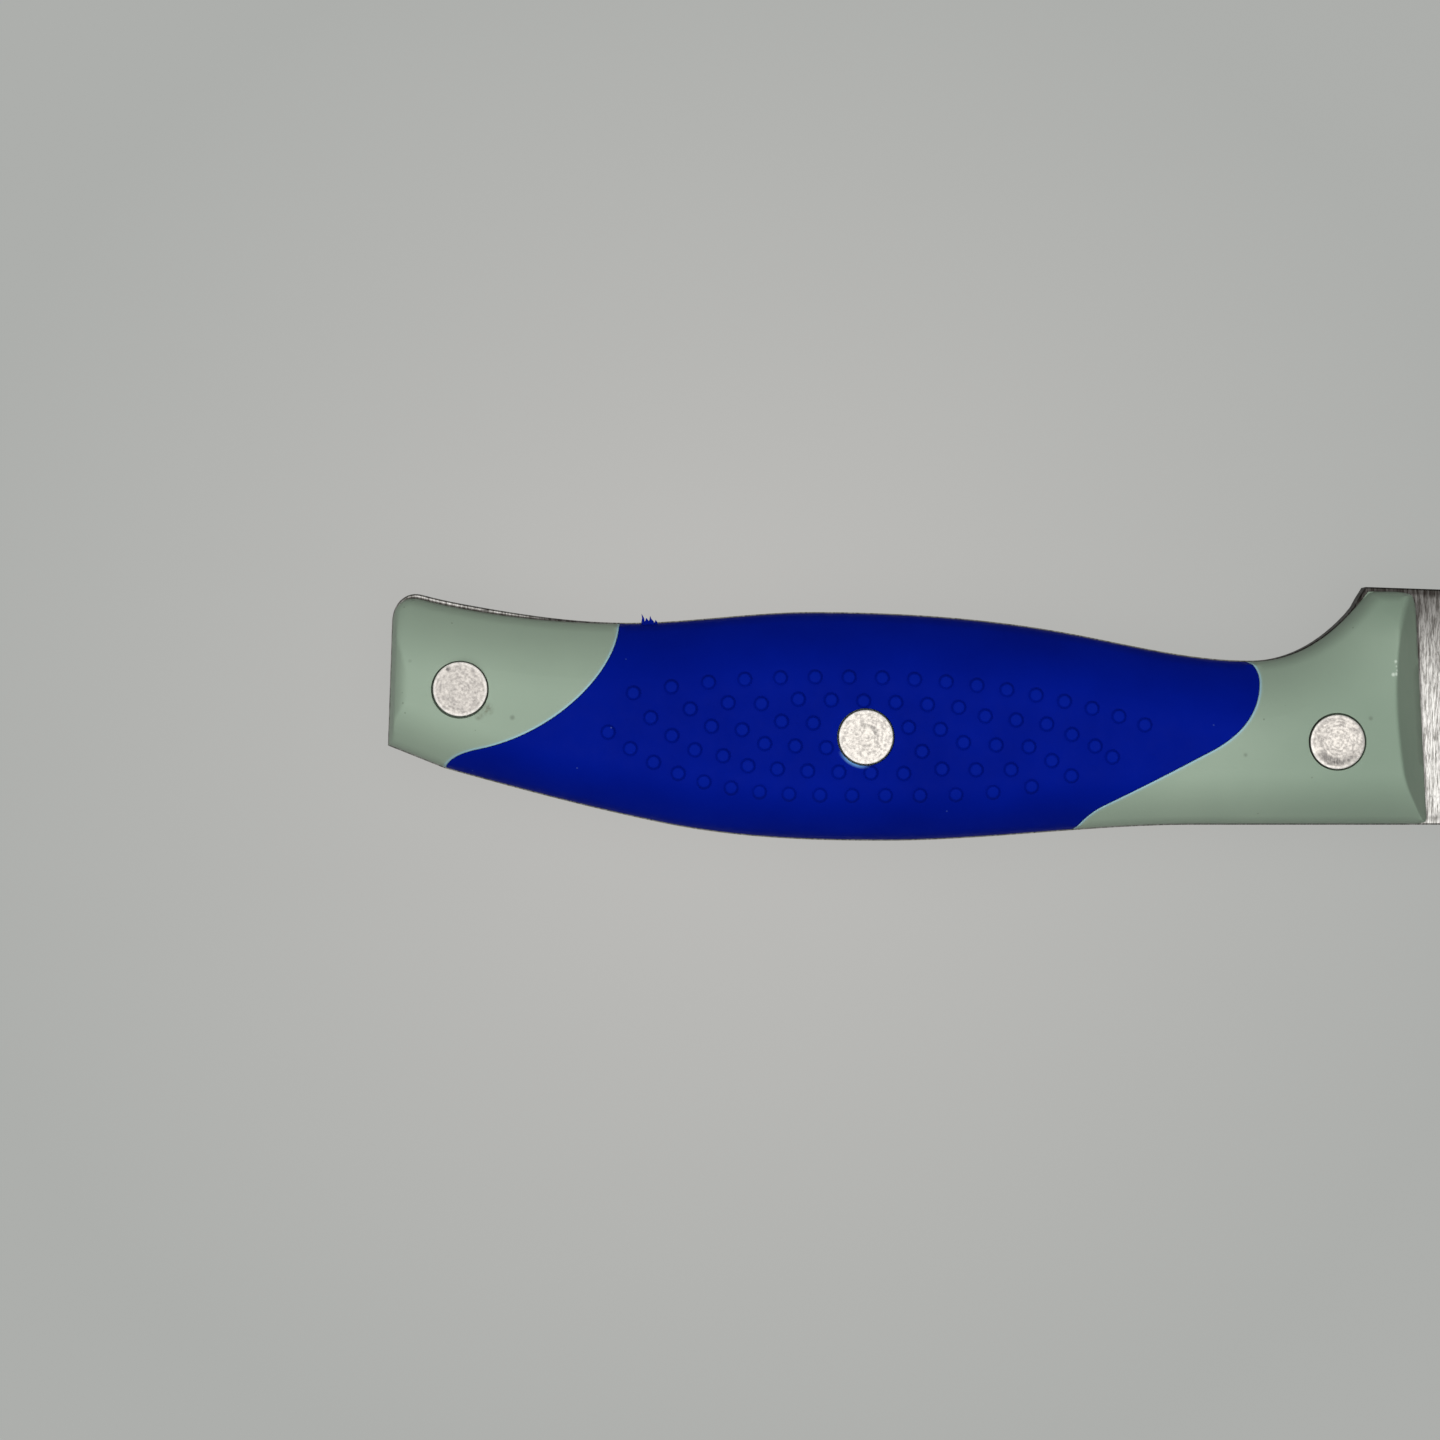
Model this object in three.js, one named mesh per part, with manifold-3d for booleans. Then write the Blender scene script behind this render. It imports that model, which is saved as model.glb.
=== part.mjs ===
// Sticking knife: a full-tang blade between two moulded handle halves, held by three two-piece rivets.
// Millimetres. The knife lies on its right side: point towards +X, cutting edge towards +Y, left side up.
// It is drawn with x = 0 at the foot of the bolster line, y = 0 on the spine and z = 0 in the middle of the
// steel. The finished group is then moved so that the origin lies under the middle of the knife.
import * as THREE from "three";
import { mergeVertices } from "three/addons/utils/BufferGeometryUtils.js";
import Module from "manifold-3d";

const wasm = await Module();
wasm.setup();
const { clamp, lerp, mapLinear, smoothstep } = THREE.MathUtils;

// Blade, forward from the bolster line
const bladeLength = 165;
const bladeThickness = 2.8;
const heelSlope = -0.035;
const middleStation = 62;
const middleHeight = 26.4;
const bellyFromPoint = 43;
const bellyHeight = 18.6;
const pointHeight = 5.5;
const spineStraight = 88;
const ricassoLength = 7;
const plungeLength = 8;
const grindShare = 0.52;
const grindEdge = 0.6;
const cuttingBevel = 1.3;
const thinningLength = 70;
const pointThickness = 1.0;
const spineChamfer = 0.3;

// Tang
const tangThickness = 3;
const tangProud = 0.15;
const tangEndProud = 0.6;
const tangReach = 3;
const beakStripLength = 10;
const guardStripLength = 2;

// Outline of the handle, back from the bolster line or forward from the pommel end
const handleLength = 130.1;
const guardBack = 7.2;
const guardHeight = 29.1;
const neckBack = 22;
const neckHeight = 20.3;
const fallBack = 44;
const fallHeight = 23.6;
const swellFromWaist = 23;
const swellHeight = 26.4;
const waistFromPommel = 30;
const waistHeight = 25.05;
const beakFromPommel = 4.1;
const beakHeight = 28.05;
const beakRound = 3.3;
const toeHeight = 9.9;
const tailFromPommel = 7;
const tailHeight = 7.1;
const flankFromPommel = 35;
const flankHeight = 0.1;
const bellyFromFlank = 27;
const bellyDepth = 2;
const backStraight = 29;
const pommelLean = 0.5;

// Thickness of one handle half, how far in and how deep its edges are rounded, and the draft of its walls
const scaleThickness = 8;
const fingerShoulder = 9.2;
const fingerDrop = 5.7;
const guardShoulder = 8.3;
const guardDrop = 4.2;
const spineShoulder = 6.6;
const spineDrop = 5.5;
const pommelShoulder = 2;
const pommelDrop = 1.8;
const wallDraft = 0.18;
const shoulderSteps = 5;

// Nose of the handle
const noseLean = 1.5;
const noseBevelRun = 4.5;
const noseBevelArch = 0.25;
const noseLand = 0.7;
const noseFingerRound = 2.6;
const noseSpineRound = 1.1;

// Soft grip over the hard core
const ribInset = 7;
const ribFromPommel = 10.2;
const ribFrontBack = 15.6;
const seamGap = 0.25;
const rearSeamFromPommel = 29;
const rearSeamTail = 12.2;
const rearSeamTailHeight = 9.45;
const frontSeamBack = 21.6;
const frontSeamHipBack = 27.7;
const frontSeamHipHeight = 9.2;
const frontSeamFootBack = 41.3;
const frontSeamFootHeight = 2.8;

// Pips: slanting rows that stand between a lower and an upper arc
const pipColumns = 17;
const pipPitch = 3.42;
const pipRadius = 0.92;
const pipTopRadius = 0.7;
const pipHeight = 0.3;
const pipFootPastRearSeam = -1.2;
const pipFootBehindFrontSeam = 18.7;
const pipFootPastRivet = 1.5;
const pipFootHeight = 3.7;
const pipFootRise = 7.8;
const pipFootCrowding = 0.32;
const pipHeadPastRearSeam = 1.9;
const pipHeadBehindFrontSeam = 14.7;
const pipHeadPastRivet = -4.5;
const pipHeadHeight = 18.3;
const pipHeadFall = 5.9;
const pipHeadCrowding = 0.2;

// Two-piece rivets
const rivetHeadRadius = 3.35;
const rivetHeadThickness = 1.9;
const rivetHeadChamfer = 0.2;
const rivetShankRadius = 1.7;
const rivetTubeRadius = 2.6;
const rivetBoreClearance = 0.2;
const rivetHoleClearance = 0.2;
const rivetHeadClearance = 0.2;
const rivetTubeShort = 1.2;
const rivetShankLength = 11;
const rivetShankTaper = 0.3;
const rivetTubeFloor = 0.4;
const roundSides = 26;
const pommelRivetFromPommel = 9.6;
const pommelRivetHeight = 16.8;
const gripRivetBehindMiddle = 4.05;
const gripRivetHeight = 10.9;
const guardRivetBack = 12.6;
const guardRivetHeight = 10.3;

const pommelRivet = new THREE.Vector2(pommelRivetFromPommel - handleLength, pommelRivetHeight);
const guardRivet = new THREE.Vector2(-guardRivetBack, guardRivetHeight);
const gripRivetStation = (pommelRivet.x + guardRivet.x) / 2 - gripRivetBehindMiddle;
const gripRivet = new THREE.Vector2(gripRivetStation, gripRivetHeight);
const rivets = [pommelRivet, gripRivet, guardRivet];
const headProud = pipHeight;
const seatHeight = scaleThickness + headProud - rivetHeadThickness;
const gripSkin = scaleThickness - seatHeight;
const rearSeam = rearSeamFromPommel - handleLength;
const frontSeam = -frontSeamBack;
const waist = waistFromPommel - handleLength;
const flank = flankFromPommel - handleLength;
const boreRadius = rivetTubeRadius + rivetHoleClearance;
const counterboreRadius = rivetHeadRadius + rivetHeadClearance;
const heelHeight = guardHeight + tangEndProud;

const steel = new THREE.MeshStandardMaterial({ color: 0xc9c6c1, roughness: 0.36, metalness: 1 });
const hardPlastic = new THREE.MeshStandardMaterial({ color: 0x96a795, roughness: 0.5, metalness: 0 });
const softPlastic = new THREE.MeshStandardMaterial({ color: 0x021986, roughness: 0.6, metalness: 0 });
const rivetMetal = new THREE.MeshStandardMaterial({ color: 0xd9d5cf, roughness: 0.42, metalness: 1 });

// Lines through knots { x, y, slope }, each running towards +X
const fingerLine = [
  { x: beakFromPommel - handleLength, y: beakHeight, slope: -0.24 },
  { x: waist, y: waistHeight, slope: 0 },
  { x: waist + swellFromWaist, y: swellHeight, slope: 0 },
  { x: -fallBack, y: fallHeight, slope: -0.19 },
  { x: -neckBack, y: neckHeight, slope: 0 },
  { x: -guardBack, y: guardHeight, slope: 1.35 },
];
const spineLine = [
  { x: tailFromPommel - handleLength, y: tailHeight, slope: -0.28 },
  { x: flank, y: flankHeight, slope: -0.2 },
  { x: flank + bellyFromFlank, y: -bellyDepth, slope: 0 },
  { x: -backStraight, y: 0, slope: 0 },
];
const edgeLine = [
  { x: -guardBack, y: heelHeight, slope: heelSlope },
  { x: middleStation, y: middleHeight, slope: -0.08 },
  { x: bladeLength - bellyFromPoint, y: bellyHeight, slope: -0.19 },
  { x: bladeLength, y: pointHeight, slope: -0.42 },
];
const backLine = [
  { x: spineStraight, y: -tangProud, slope: 0 },
  { x: bladeLength, y: pointHeight, slope: 0.14 },
];

// Height of such a line at one station
function heightAt(knots, x) {
  let i = 0;
  while (i < knots.length - 2 && x > knots[i + 1].x) i += 1;
  const [a, b] = [knots[i], knots[i + 1]];
  const run = b.x - a.x;
  const s = (x - a.x) / run;
  const left = (a.y * (1 + 2 * s) + a.slope * run * s) * (1 - s) ** 2;
  const right = (b.y * (3 - 2 * s) - b.slope * run * (1 - s)) * s ** 2;
  return left + right;
}

function solidOf(geometry) {
  geometry.deleteAttribute("normal");
  geometry.deleteAttribute("uv");
  const welded = mergeVertices(geometry, 1e-4);
  const corners = welded.index.array;
  const kept = [];
  for (let i = 0; i < corners.length; i += 3) {
    const [a, b, c] = [corners[i], corners[i + 1], corners[i + 2]];
    if (a !== b && b !== c && c !== a) kept.push(a, b, c);
  }
  const triVerts = new Uint32Array(kept);
  const vertProperties = welded.attributes.position.array;
  return new wasm.Manifold(new wasm.Mesh({ numProp: 3, vertProperties, triVerts }));
}

function meshOf(name, solid, material) {
  const { vertProperties, triVerts } = solid.getMesh();
  const geometry = new THREE.BufferGeometry();
  geometry.setAttribute("position", new THREE.BufferAttribute(vertProperties, 3));
  geometry.setIndex(new THREE.BufferAttribute(triVerts, 1));
  geometry.computeVertexNormals();
  const mesh = new THREE.Mesh(geometry, material);
  mesh.name = name;
  return mesh;
}

// Skins a row of rings of equal length; each ring runs anticlockwise about the way the row goes
function skin(rings) {
  const size = rings[0].length;
  const last = (rings.length - 1) * size;
  const index = [];
  for (let start = 0; start < last; start += size) {
    for (let j = 0; j < size; j += 1) {
      const a = start + j;
      const b = start + ((j + 1) % size);
      index.push(a, b, b + size, a, b + size, a + size);
    }
  }
  const hub = rings.length * size;
  for (let j = 0; j < size; j += 1) {
    const next = (j + 1) % size;
    index.push(hub, next, j, hub + 1, last + j, last + next);
  }
  const middleOf = (ring) => ring.reduce((sum, p) => sum.add(p), new THREE.Vector3()).divideScalar(size);
  const geometry = new THREE.BufferGeometry();
  geometry.setFromPoints([...rings.flat(), middleOf(rings[0]), middleOf(rings.at(-1))]);
  geometry.setIndex(index);
  return solidOf(geometry);
}

function prism(points, from, to) {
  const geometry = new THREE.ExtrudeGeometry(new THREE.Shape(points), {
    depth: to - from,
    bevelEnabled: false,
  });
  return solidOf(geometry.translate(0, 0, from));
}

function bore(centre, radius, from, to) {
  const geometry = new THREE.CylinderGeometry(radius, radius, to - from, roundSides);
  geometry.rotateX(Math.PI / 2);
  return solidOf(geometry.translate(centre.x, centre.y, (from + to) / 2));
}

// Moves every corner of an anticlockwise ring inwards by its own amount
function inset(ring, amount) {
  const sideNormal = (a, b) => new THREE.Vector2(a.y - b.y, b.x - a.x).normalize();
  return ring.map((point, i) => {
    const before = sideNormal(ring.at(i - 1), point);
    const after = sideNormal(point, ring[(i + 1) % ring.length]);
    const mitre = before.clone().add(after).divideScalar(1 + before.dot(after));
    return point.clone().addScaledVector(mitre, amount(point));
  });
}

// Edges of the handle at one station; in front of the guard tip they run on level
function spineEdge(x) {
  const tail = spineLine[0];
  if (x < tail.x) return mapLinear(x, -handleLength, tail.x, toeHeight, tail.y);
  return heightAt(spineLine, Math.min(x, -backStraight));
}

function fingerEdge(x) {
  const beak = fingerLine[0];
  const behind = beak.x - x;
  if (behind <= 0) return heightAt(fingerLine, Math.min(x, -guardBack));
  const turn = 1 - Math.sqrt(1 - Math.min(1, behind / beakFromPommel) ** 2);
  return beak.y - beak.slope * behind - (beakRound - beak.slope * beakFromPommel) * turn;
}

// Stations from the pommel end to a little past the bolster line
function handleStations() {
  const beak = fingerLine[0].x;
  const tail = spineLine[0].x;
  const stops = [[beak, 1], [tail, 1], [waist, 5], [-neckBack, 14], [-guardBack, 8], [guardBack, 1]];
  const stations = [6, 5, 4, 3, 2, 1].map((i) => beak - beakFromPommel * Math.sin((i * Math.PI) / 12));
  for (const [stop, steps] of stops) {
    const from = stations.at(-1);
    for (let i = 1; i <= steps; i += 1) stations.push(lerp(from, stop, i / steps));
  }
  return stations;
}

// The pommel end leans: the beak stands a little ahead of the toe, and its wall is drafted like the others
function leaned(x, y, z = 0) {
  const up = clamp((y - toeHeight) / (beakHeight - beakRound - toeHeight), 0, 1);
  const atEnd = 1 - smoothstep(x + handleLength, 0, tailFromPommel);
  return x + (pommelLean * up + wallDraft * z) * atEnd;
}

const stations = handleStations();
const outline = [
  ...stations.map((x) => new THREE.Vector2(leaned(x, spineEdge(x)), spineEdge(x))),
  ...stations.map((x) => new THREE.Vector2(leaned(x, fingerEdge(x)), fingerEdge(x))).reverse(),
];
const onFingerSide = (point) => point.y > guardHeight / 2;

// One section of a handle half, anticlockwise seen from the point
function handleSection(x) {
  const low = spineEdge(x);
  const high = fingerEdge(x);
  const guardwards = smoothstep(x, -neckBack, -guardBack);
  const steepness = x < -guardBack && x > -fallBack ? (high - fingerEdge(x - 0.1)) / 0.1 : 0;
  const slant = Math.hypot(1, steepness);
  const reach = lerp(fingerShoulder, guardShoulder, guardwards) * slant;
  const drop = lerp(fingerDrop, guardDrop, guardwards);
  const fingerRim = high - wallDraft * (scaleThickness - drop) * slant;
  const spineRim = low + wallDraft * (scaleThickness - spineDrop);
  const fromEnd = clamp((x + handleLength) / pommelShoulder, 0, 1);
  const endHeight = scaleThickness - pommelDrop * (1 - fromEnd) ** 2;
  const room = Math.min(1, (fingerRim - spineRim) / (reach + spineShoulder));
  const ring = [[low, 0], [high, 0]];
  for (let i = 0; i <= shoulderSteps; i += 1) {
    const share = i / shoulderSteps;
    ring.push([fingerRim - reach * room * share, scaleThickness - drop * (1 - share) ** 2]);
  }
  for (let i = shoulderSteps; i >= 0; i -= 1) {
    const share = i / shoulderSteps;
    ring.push([spineRim + spineShoulder * room * share, scaleThickness - spineDrop * (1 - share) ** 2]);
  }
  return ring.map(([y, level]) => {
    const z = Math.min(level, endHeight);
    return new THREE.Vector3(leaned(x, y, z), y, z);
  });
}

// The whole handle half before it is split into core and grip
function scaleBlank() {
  return skin(stations.map(handleSection)).subtract(noseCutter());
}

// Everything in front of the sloping nose, whose facet is widest in the middle, and of its two round corners
function noseCutter() {
  const reach = 2 * guardBack;
  const rise = 1.5;
  const steps = 12;
  const top = lerp(noseLand, scaleThickness, rise);
  const rings = [];
  for (let i = steps + 1; i >= -1; i -= 1) {
    const y = (guardHeight * i) / steps;
    const out = Math.min(1, Math.abs((2 * i) / steps - 1));
    const back = -noseBevelRun * rise * (1 - noseBevelArch * out ** 1.6);
    const ring = [[0, -1], [reach, -1], [reach, top], [back, top], [0, noseLand]];
    rings.push(ring.map(([x, z]) => new THREE.Vector3(x, y, z)));
  }
  const lean = Math.atan2(noseLean, guardHeight);
  return skin(rings)
    .rotate([0, 0, THREE.MathUtils.radToDeg(lean)])
    .add(cornerCutter(new THREE.Vector2(-noseLean, guardHeight), noseFingerRound, lean, 1))
    .add(cornerCutter(new THREE.Vector2(0, 0), noseSpineRound, lean, -1));
}

function cornerCutter(tip, radius, lean, side) {
  const along = new THREE.Vector2(Math.sin(lean), -Math.cos(lean)).multiplyScalar(side * radius).add(tip);
  const corner = new THREE.Shape();
  corner.moveTo(tip.x - radius, tip.y);
  corner.quadraticCurveTo(tip.x, tip.y, along.x, along.y);
  corner.lineTo(along.x + guardBack, along.y);
  corner.lineTo(along.x + guardBack, tip.y + side * radius);
  corner.lineTo(tip.x - radius, tip.y + side * radius);
  return prism(corner.getPoints(5), -1, scaleThickness + 1);
}

// Plan of the soft grip, running out past the handle outline on both sides
function gripPlan() {
  const tail = rearSeamTail - handleLength;
  const tailTop = rearSeamTailHeight;
  const foot = -frontSeamFootBack;
  const footTop = frontSeamFootHeight;
  const hip = -frontSeamHipBack;
  const hipTop = frontSeamHipHeight;
  const above = guardHeight + 10;
  const below = -bellyDepth - 10;
  const plan = new THREE.Shape();
  plan.moveTo(rearSeam, above);
  plan.lineTo(rearSeam, waistHeight);
  plan.bezierCurveTo(rearSeam, waistHeight - 6.5, tail + 8.7, tailTop + 1.8, tail, tailTop);
  plan.bezierCurveTo(tail - 2, tailTop - 0.4, tail - 4.1, tailTop - 0.9, tail - 5.2, tailHeight - 0.3);
  plan.lineTo(tail - 7, tailHeight - 4);
  plan.lineTo(tail, below);
  plan.lineTo(foot - 6, below);
  plan.lineTo(foot - 3.7, footTop - 4);
  plan.quadraticCurveTo(foot - 2.3, footTop - 1.2, foot, footTop);
  plan.lineTo(hip, hipTop);
  plan.bezierCurveTo(hip + 3.3, hipTop + 1.8, frontSeam - 0.4, neckHeight - 6.3, frontSeam, neckHeight - 2.3);
  plan.quadraticCurveTo(frontSeam + 0.1, neckHeight, frontSeam - 2.1, neckHeight + 0.5);
  plan.lineTo(frontSeam - 6, above);
  return plan.getPoints(9);
}

// Plan of the hard rib that joins pommel and guard under the soft skin
function ribPlan() {
  const steps = 14;
  const low = [];
  const high = [];
  for (let i = 0; i <= steps; i += 1) {
    const x = lerp(ribFromPommel - handleLength, -ribFrontBack, i / steps);
    low.push(new THREE.Vector2(x, heightAt(spineLine, Math.min(x, -backStraight)) + ribInset));
    high.unshift(new THREE.Vector2(x, heightAt(fingerLine, x) - ribInset));
  }
  return [...low, ...high];
}

// Centres of the pips: rows lean between the arcs, as many to a row as the pitch allows
function pipCentres() {
  const footRear = rearSeam + pipFootPastRearSeam;
  const footFront = frontSeam - pipFootBehindFrontSeam;
  const footMiddle = gripRivet.x + pipFootPastRivet;
  const headRear = rearSeam + pipHeadPastRearSeam;
  const headFront = frontSeam - pipHeadBehindFrontSeam;
  const headMiddle = gripRivet.x + pipHeadPastRivet;
  const centres = [];
  for (let column = 0; column < pipColumns; column += 1) {
    const t = column / (pipColumns - 1);
    const footX = lerp(footRear, footFront, t - pipFootCrowding * t * (1 - t));
    const headX = lerp(headRear, headFront, t + pipHeadCrowding * t * (1 - t));
    const footShare = Math.abs((footX - footMiddle) / (footRear - footMiddle));
    const headShare = Math.abs((headX - headMiddle) / (headFront - headMiddle));
    const foot = new THREE.Vector2(footX, pipFootHeight + pipFootRise * footShare ** 3.5);
    const head = new THREE.Vector2(headX, pipHeadHeight - pipHeadFall * headShare ** 2.3);
    const gaps = Math.max(1, Math.floor(foot.distanceTo(head) / pipPitch));
    for (let i = 0; i <= gaps; i += 1) {
      const centre = foot.clone().lerp(head, i / gaps);
      if (centre.distanceTo(gripRivet) > counterboreRadius + pipTopRadius) centres.push(centre);
    }
  }
  return centres;
}

function pip(centre) {
  const root = gripSkin / 2;
  const flare = (pipRadius - pipTopRadius) * (root / pipHeight);
  const geometry = new THREE.CylinderGeometry(pipTopRadius, pipRadius + flare, pipHeight + root, 8, 1);
  geometry.rotateX(Math.PI / 2);
  return solidOf(geometry.translate(centre.x, centre.y, scaleThickness + (pipHeight - root) / 2));
}

const plan = gripPlan();
const rib = ribPlan();

function scaleCore() {
  const socket = prism(inset(plan, () => -seamGap), -1, scaleThickness + 1);
  let core = scaleBlank().subtract(socket).add(prism(rib, 0, seatHeight));
  for (const rivet of rivets) {
    core = core.subtract(bore(rivet, boreRadius, -1, scaleThickness + 1));
    core = core.subtract(bore(rivet, counterboreRadius, seatHeight, scaleThickness + 1));
  }
  return core;
}

function softGrip() {
  const ribRoom = prism(inset(rib, () => -seamGap), -1, seatHeight + seamGap);
  const grip = scaleBlank().intersect(prism(plan, -1, scaleThickness + 1)).subtract(ribRoom);
  const pimpled = pipCentres().reduce((body, centre) => body.add(pip(centre)), grip);
  return pimpled.subtract(bore(gripRivet, counterboreRadius, -1, scaleThickness + 1));
}

// The tang stands a little proud of the handle halves, most of all along the beak and at the guard
function tang() {
  const proud = (point) => {
    if (!onFingerSide(point)) return -tangProud;
    const onBeak = smoothstep(point.x, -handleLength, fingerLine[0].x);
    const beakwards = onBeak * (1 - smoothstep(point.x, beakStripLength - handleLength, waist));
    const guardwards = smoothstep(point.x, -guardBack - guardStripLength, -guardBack);
    return -lerp(tangProud, tangEndProud, Math.max(beakwards, guardwards));
  };
  let body = prism(inset(outline, proud), -tangThickness / 2, tangThickness / 2);
  const ahead = new THREE.BoxGeometry(100, 4 * guardHeight, 2 * tangThickness);
  body = body.subtract(solidOf(ahead.translate(50 - tangReach, 0, 0)));
  for (const rivet of rivets) body = body.subtract(bore(rivet, boreRadius, -tangThickness, tangThickness));
  return body;
}

// One section of the blade, anticlockwise seen from the point; square at the ricasso, ground in front of it
function bladeSection(x) {
  const edge = heightAt(edgeLine, x);
  const back = heightAt(backLine, Math.max(x, spineStraight));
  const thinning = Math.max(0, (x - bladeLength + thinningLength) / thinningLength);
  const ground = smoothstep(x, ricassoLength, ricassoLength + plungeLength);
  const half = lerp(lerp(tangThickness, bladeThickness, ground), pointThickness, thinning) / 2;
  const height = edge - back;
  const chamfer = Math.min(spineChamfer, 0.3 * half, 0.2 * height);
  const bevel = lerp(chamfer, Math.min(cuttingBevel, 0.25 * height), ground);
  const grind = lerp(edge - 2 * bevel, edge - grindShare * height, ground);
  const behindEdge = lerp(half, Math.min(grindEdge / 2, 0.6 * half), ground);
  const rim = lerp(half - chamfer, 0.04, ground);
  const side = [
    [edge, rim],
    [edge - bevel, behindEdge],
    [grind, half],
    [back + chamfer, half],
    [back, half - chamfer],
  ];
  const far = side.toReversed().map(([y, z]) => [y, -z]);
  return [...side, ...far].map(([y, z]) => new THREE.Vector3(x, y, z));
}

function blade() {
  const stops = [-tangReach - 1, ricassoLength];
  for (let i = 1; i <= 6; i += 1) stops.push(ricassoLength + (plungeLength * i) / 6);
  const start = ricassoLength + plungeLength;
  for (let i = 1; i <= 26; i += 1) stops.push(lerp(start, bladeLength, 1 - (1 - i / 26.6) ** 1.35));
  return skin(stops.map(bladeSection)).add(tang());
}

function turned(profile, centre) {
  const geometry = new THREE.LatheGeometry(profile.map(([r, z]) => new THREE.Vector2(r, z)), roundSides);
  geometry.rotateX(Math.PI / 2);
  return solidOf(geometry.translate(centre.x, centre.y, 0));
}

const headTop = tangThickness / 2 + scaleThickness + headProud;
const seat = headTop - rivetHeadThickness;
const headFace = [
  [rivetHeadRadius, seat],
  [rivetHeadRadius, headTop - rivetHeadChamfer],
  [rivetHeadRadius - rivetHeadChamfer, headTop],
  [0, headTop],
];

function rivetMale(centre) {
  const end = seat - rivetShankLength;
  const shank = [
    [0, end],
    [rivetShankRadius - rivetShankTaper, end],
    [rivetShankRadius, end + 2 * rivetShankTaper],
    [rivetShankRadius, seat],
  ];
  return turned([...shank, ...headFace], centre);
}

// Drawn head up like its partner, then turned over
function rivetFemale(centre) {
  const mouth = -seat + rivetTubeShort;
  const tubeBore = rivetShankRadius + rivetBoreClearance;
  const tube = [
    [0, seat - rivetTubeFloor],
    [tubeBore, seat - rivetTubeFloor],
    [tubeBore, mouth],
    [rivetTubeRadius, mouth],
    [rivetTubeRadius, seat],
  ];
  return turned([...tube, ...headFace], new THREE.Vector2(centre.x, -centre.y)).rotate([180, 0, 0]);
}

function side(name, direction) {
  const group = new THREE.Group();
  group.add(meshOf(`${name}_scale`, scaleCore(), hardPlastic));
  group.add(meshOf(`${name}_grip`, softGrip(), softPlastic));
  group.position.z = (direction * tangThickness) / 2;
  group.scale.z = direction;
  return group;
}

const knife = new THREE.Group();
knife.add(meshOf("blade", blade(), steel), side("left", 1), side("right", -1));
for (const [name, centre] of [["pommel", pommelRivet], ["grip", gripRivet], ["guard", guardRivet]]) {
  knife.add(meshOf(`${name}_rivet_male`, rivetMale(centre), rivetMetal));
  knife.add(meshOf(`${name}_rivet_female`, rivetFemale(centre), rivetMetal));
}

const box = new THREE.Box3().setFromObject(knife, true);
const middle = box.getCenter(new THREE.Vector3());
knife.position.set(-middle.x, -middle.y, -box.min.z);

const part = new THREE.Group();
part.name = "sticking_knife";
part.add(knife);
export default part;
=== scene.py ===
import math

import bpy
import numpy as np
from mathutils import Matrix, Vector, geometry, noise


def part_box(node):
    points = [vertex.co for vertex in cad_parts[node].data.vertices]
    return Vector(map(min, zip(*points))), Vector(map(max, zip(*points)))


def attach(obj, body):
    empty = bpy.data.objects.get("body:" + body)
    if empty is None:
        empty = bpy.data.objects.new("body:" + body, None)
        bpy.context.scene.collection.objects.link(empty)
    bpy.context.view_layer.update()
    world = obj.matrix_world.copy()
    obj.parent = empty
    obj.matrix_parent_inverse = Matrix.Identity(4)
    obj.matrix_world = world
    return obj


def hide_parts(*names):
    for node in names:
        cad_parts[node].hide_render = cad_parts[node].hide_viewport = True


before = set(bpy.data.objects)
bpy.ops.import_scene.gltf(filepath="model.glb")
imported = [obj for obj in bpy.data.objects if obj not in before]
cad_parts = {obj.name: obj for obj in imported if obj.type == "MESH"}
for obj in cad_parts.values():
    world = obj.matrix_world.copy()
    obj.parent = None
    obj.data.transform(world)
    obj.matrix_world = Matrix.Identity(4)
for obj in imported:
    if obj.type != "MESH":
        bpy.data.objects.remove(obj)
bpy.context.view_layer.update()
print("frame loaded with", len(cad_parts), "nodes")

# Everything is drawn in millimetres as the knife lies on its right side: x 0 at the foot of the
# bolster line, y 0 on the spine, z 0 in the middle of the steel, and then placed in the frame.
handle = {
    "end": -130.1, "toeHeight": 9.9, "lean": 0.5,
    "spineLine": [(-123.1, 7.1, -0.28), (-95.1, 0.1, -0.2), (-68.1, -2, 0), (-29, 0, 0)],  # x, y, slope
    "fingerLine": [(-126, 28.05, -0.24), (-100.1, 25.05, 0), (-77.1, 26.4, 0), (-44, 23.6, -0.19),
                   (-22, 20.3, 0), (-7.2, 29.1, 1.35)],
    "beakRound": (4.1, 3.3), "beakPower": 2.4,  # along and down, and how square
    "thickness": 8.0, "thinnest": 0.1, "draft": 0.18,
    "fingerSide": (9.2, 5.7), "guardSide": (8.3, 4.2),  # how far in and how deep the shoulders go
    "spineSide": (6.6, 5.5), "endSide": (2.0, 1.8), "blend": 6,
    "squared": (-50, -40),  # from here on the finger wall is square to its edge
    "step": 0.8, "rings": 11, "endRings": (0.0, 0.12, 0.26, 0.42, 0.6, 0.8, 1.0),
}
nose = {
    "lean": 1.5, "run": 4.5, "arch": 0.25, "archPower": 1.6, "land": 0.7,
    "fingerRound": 2.6, "spineRound": 1.1, "crease": 0.4, "topCrease": 1.5,
    "topBand": (8, 2),  # the crease softens over this band under the guard tip
    "tipCrease": [(0.1, -0.2), (4.1, -8.2)],  # from the guard tip
}
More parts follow.
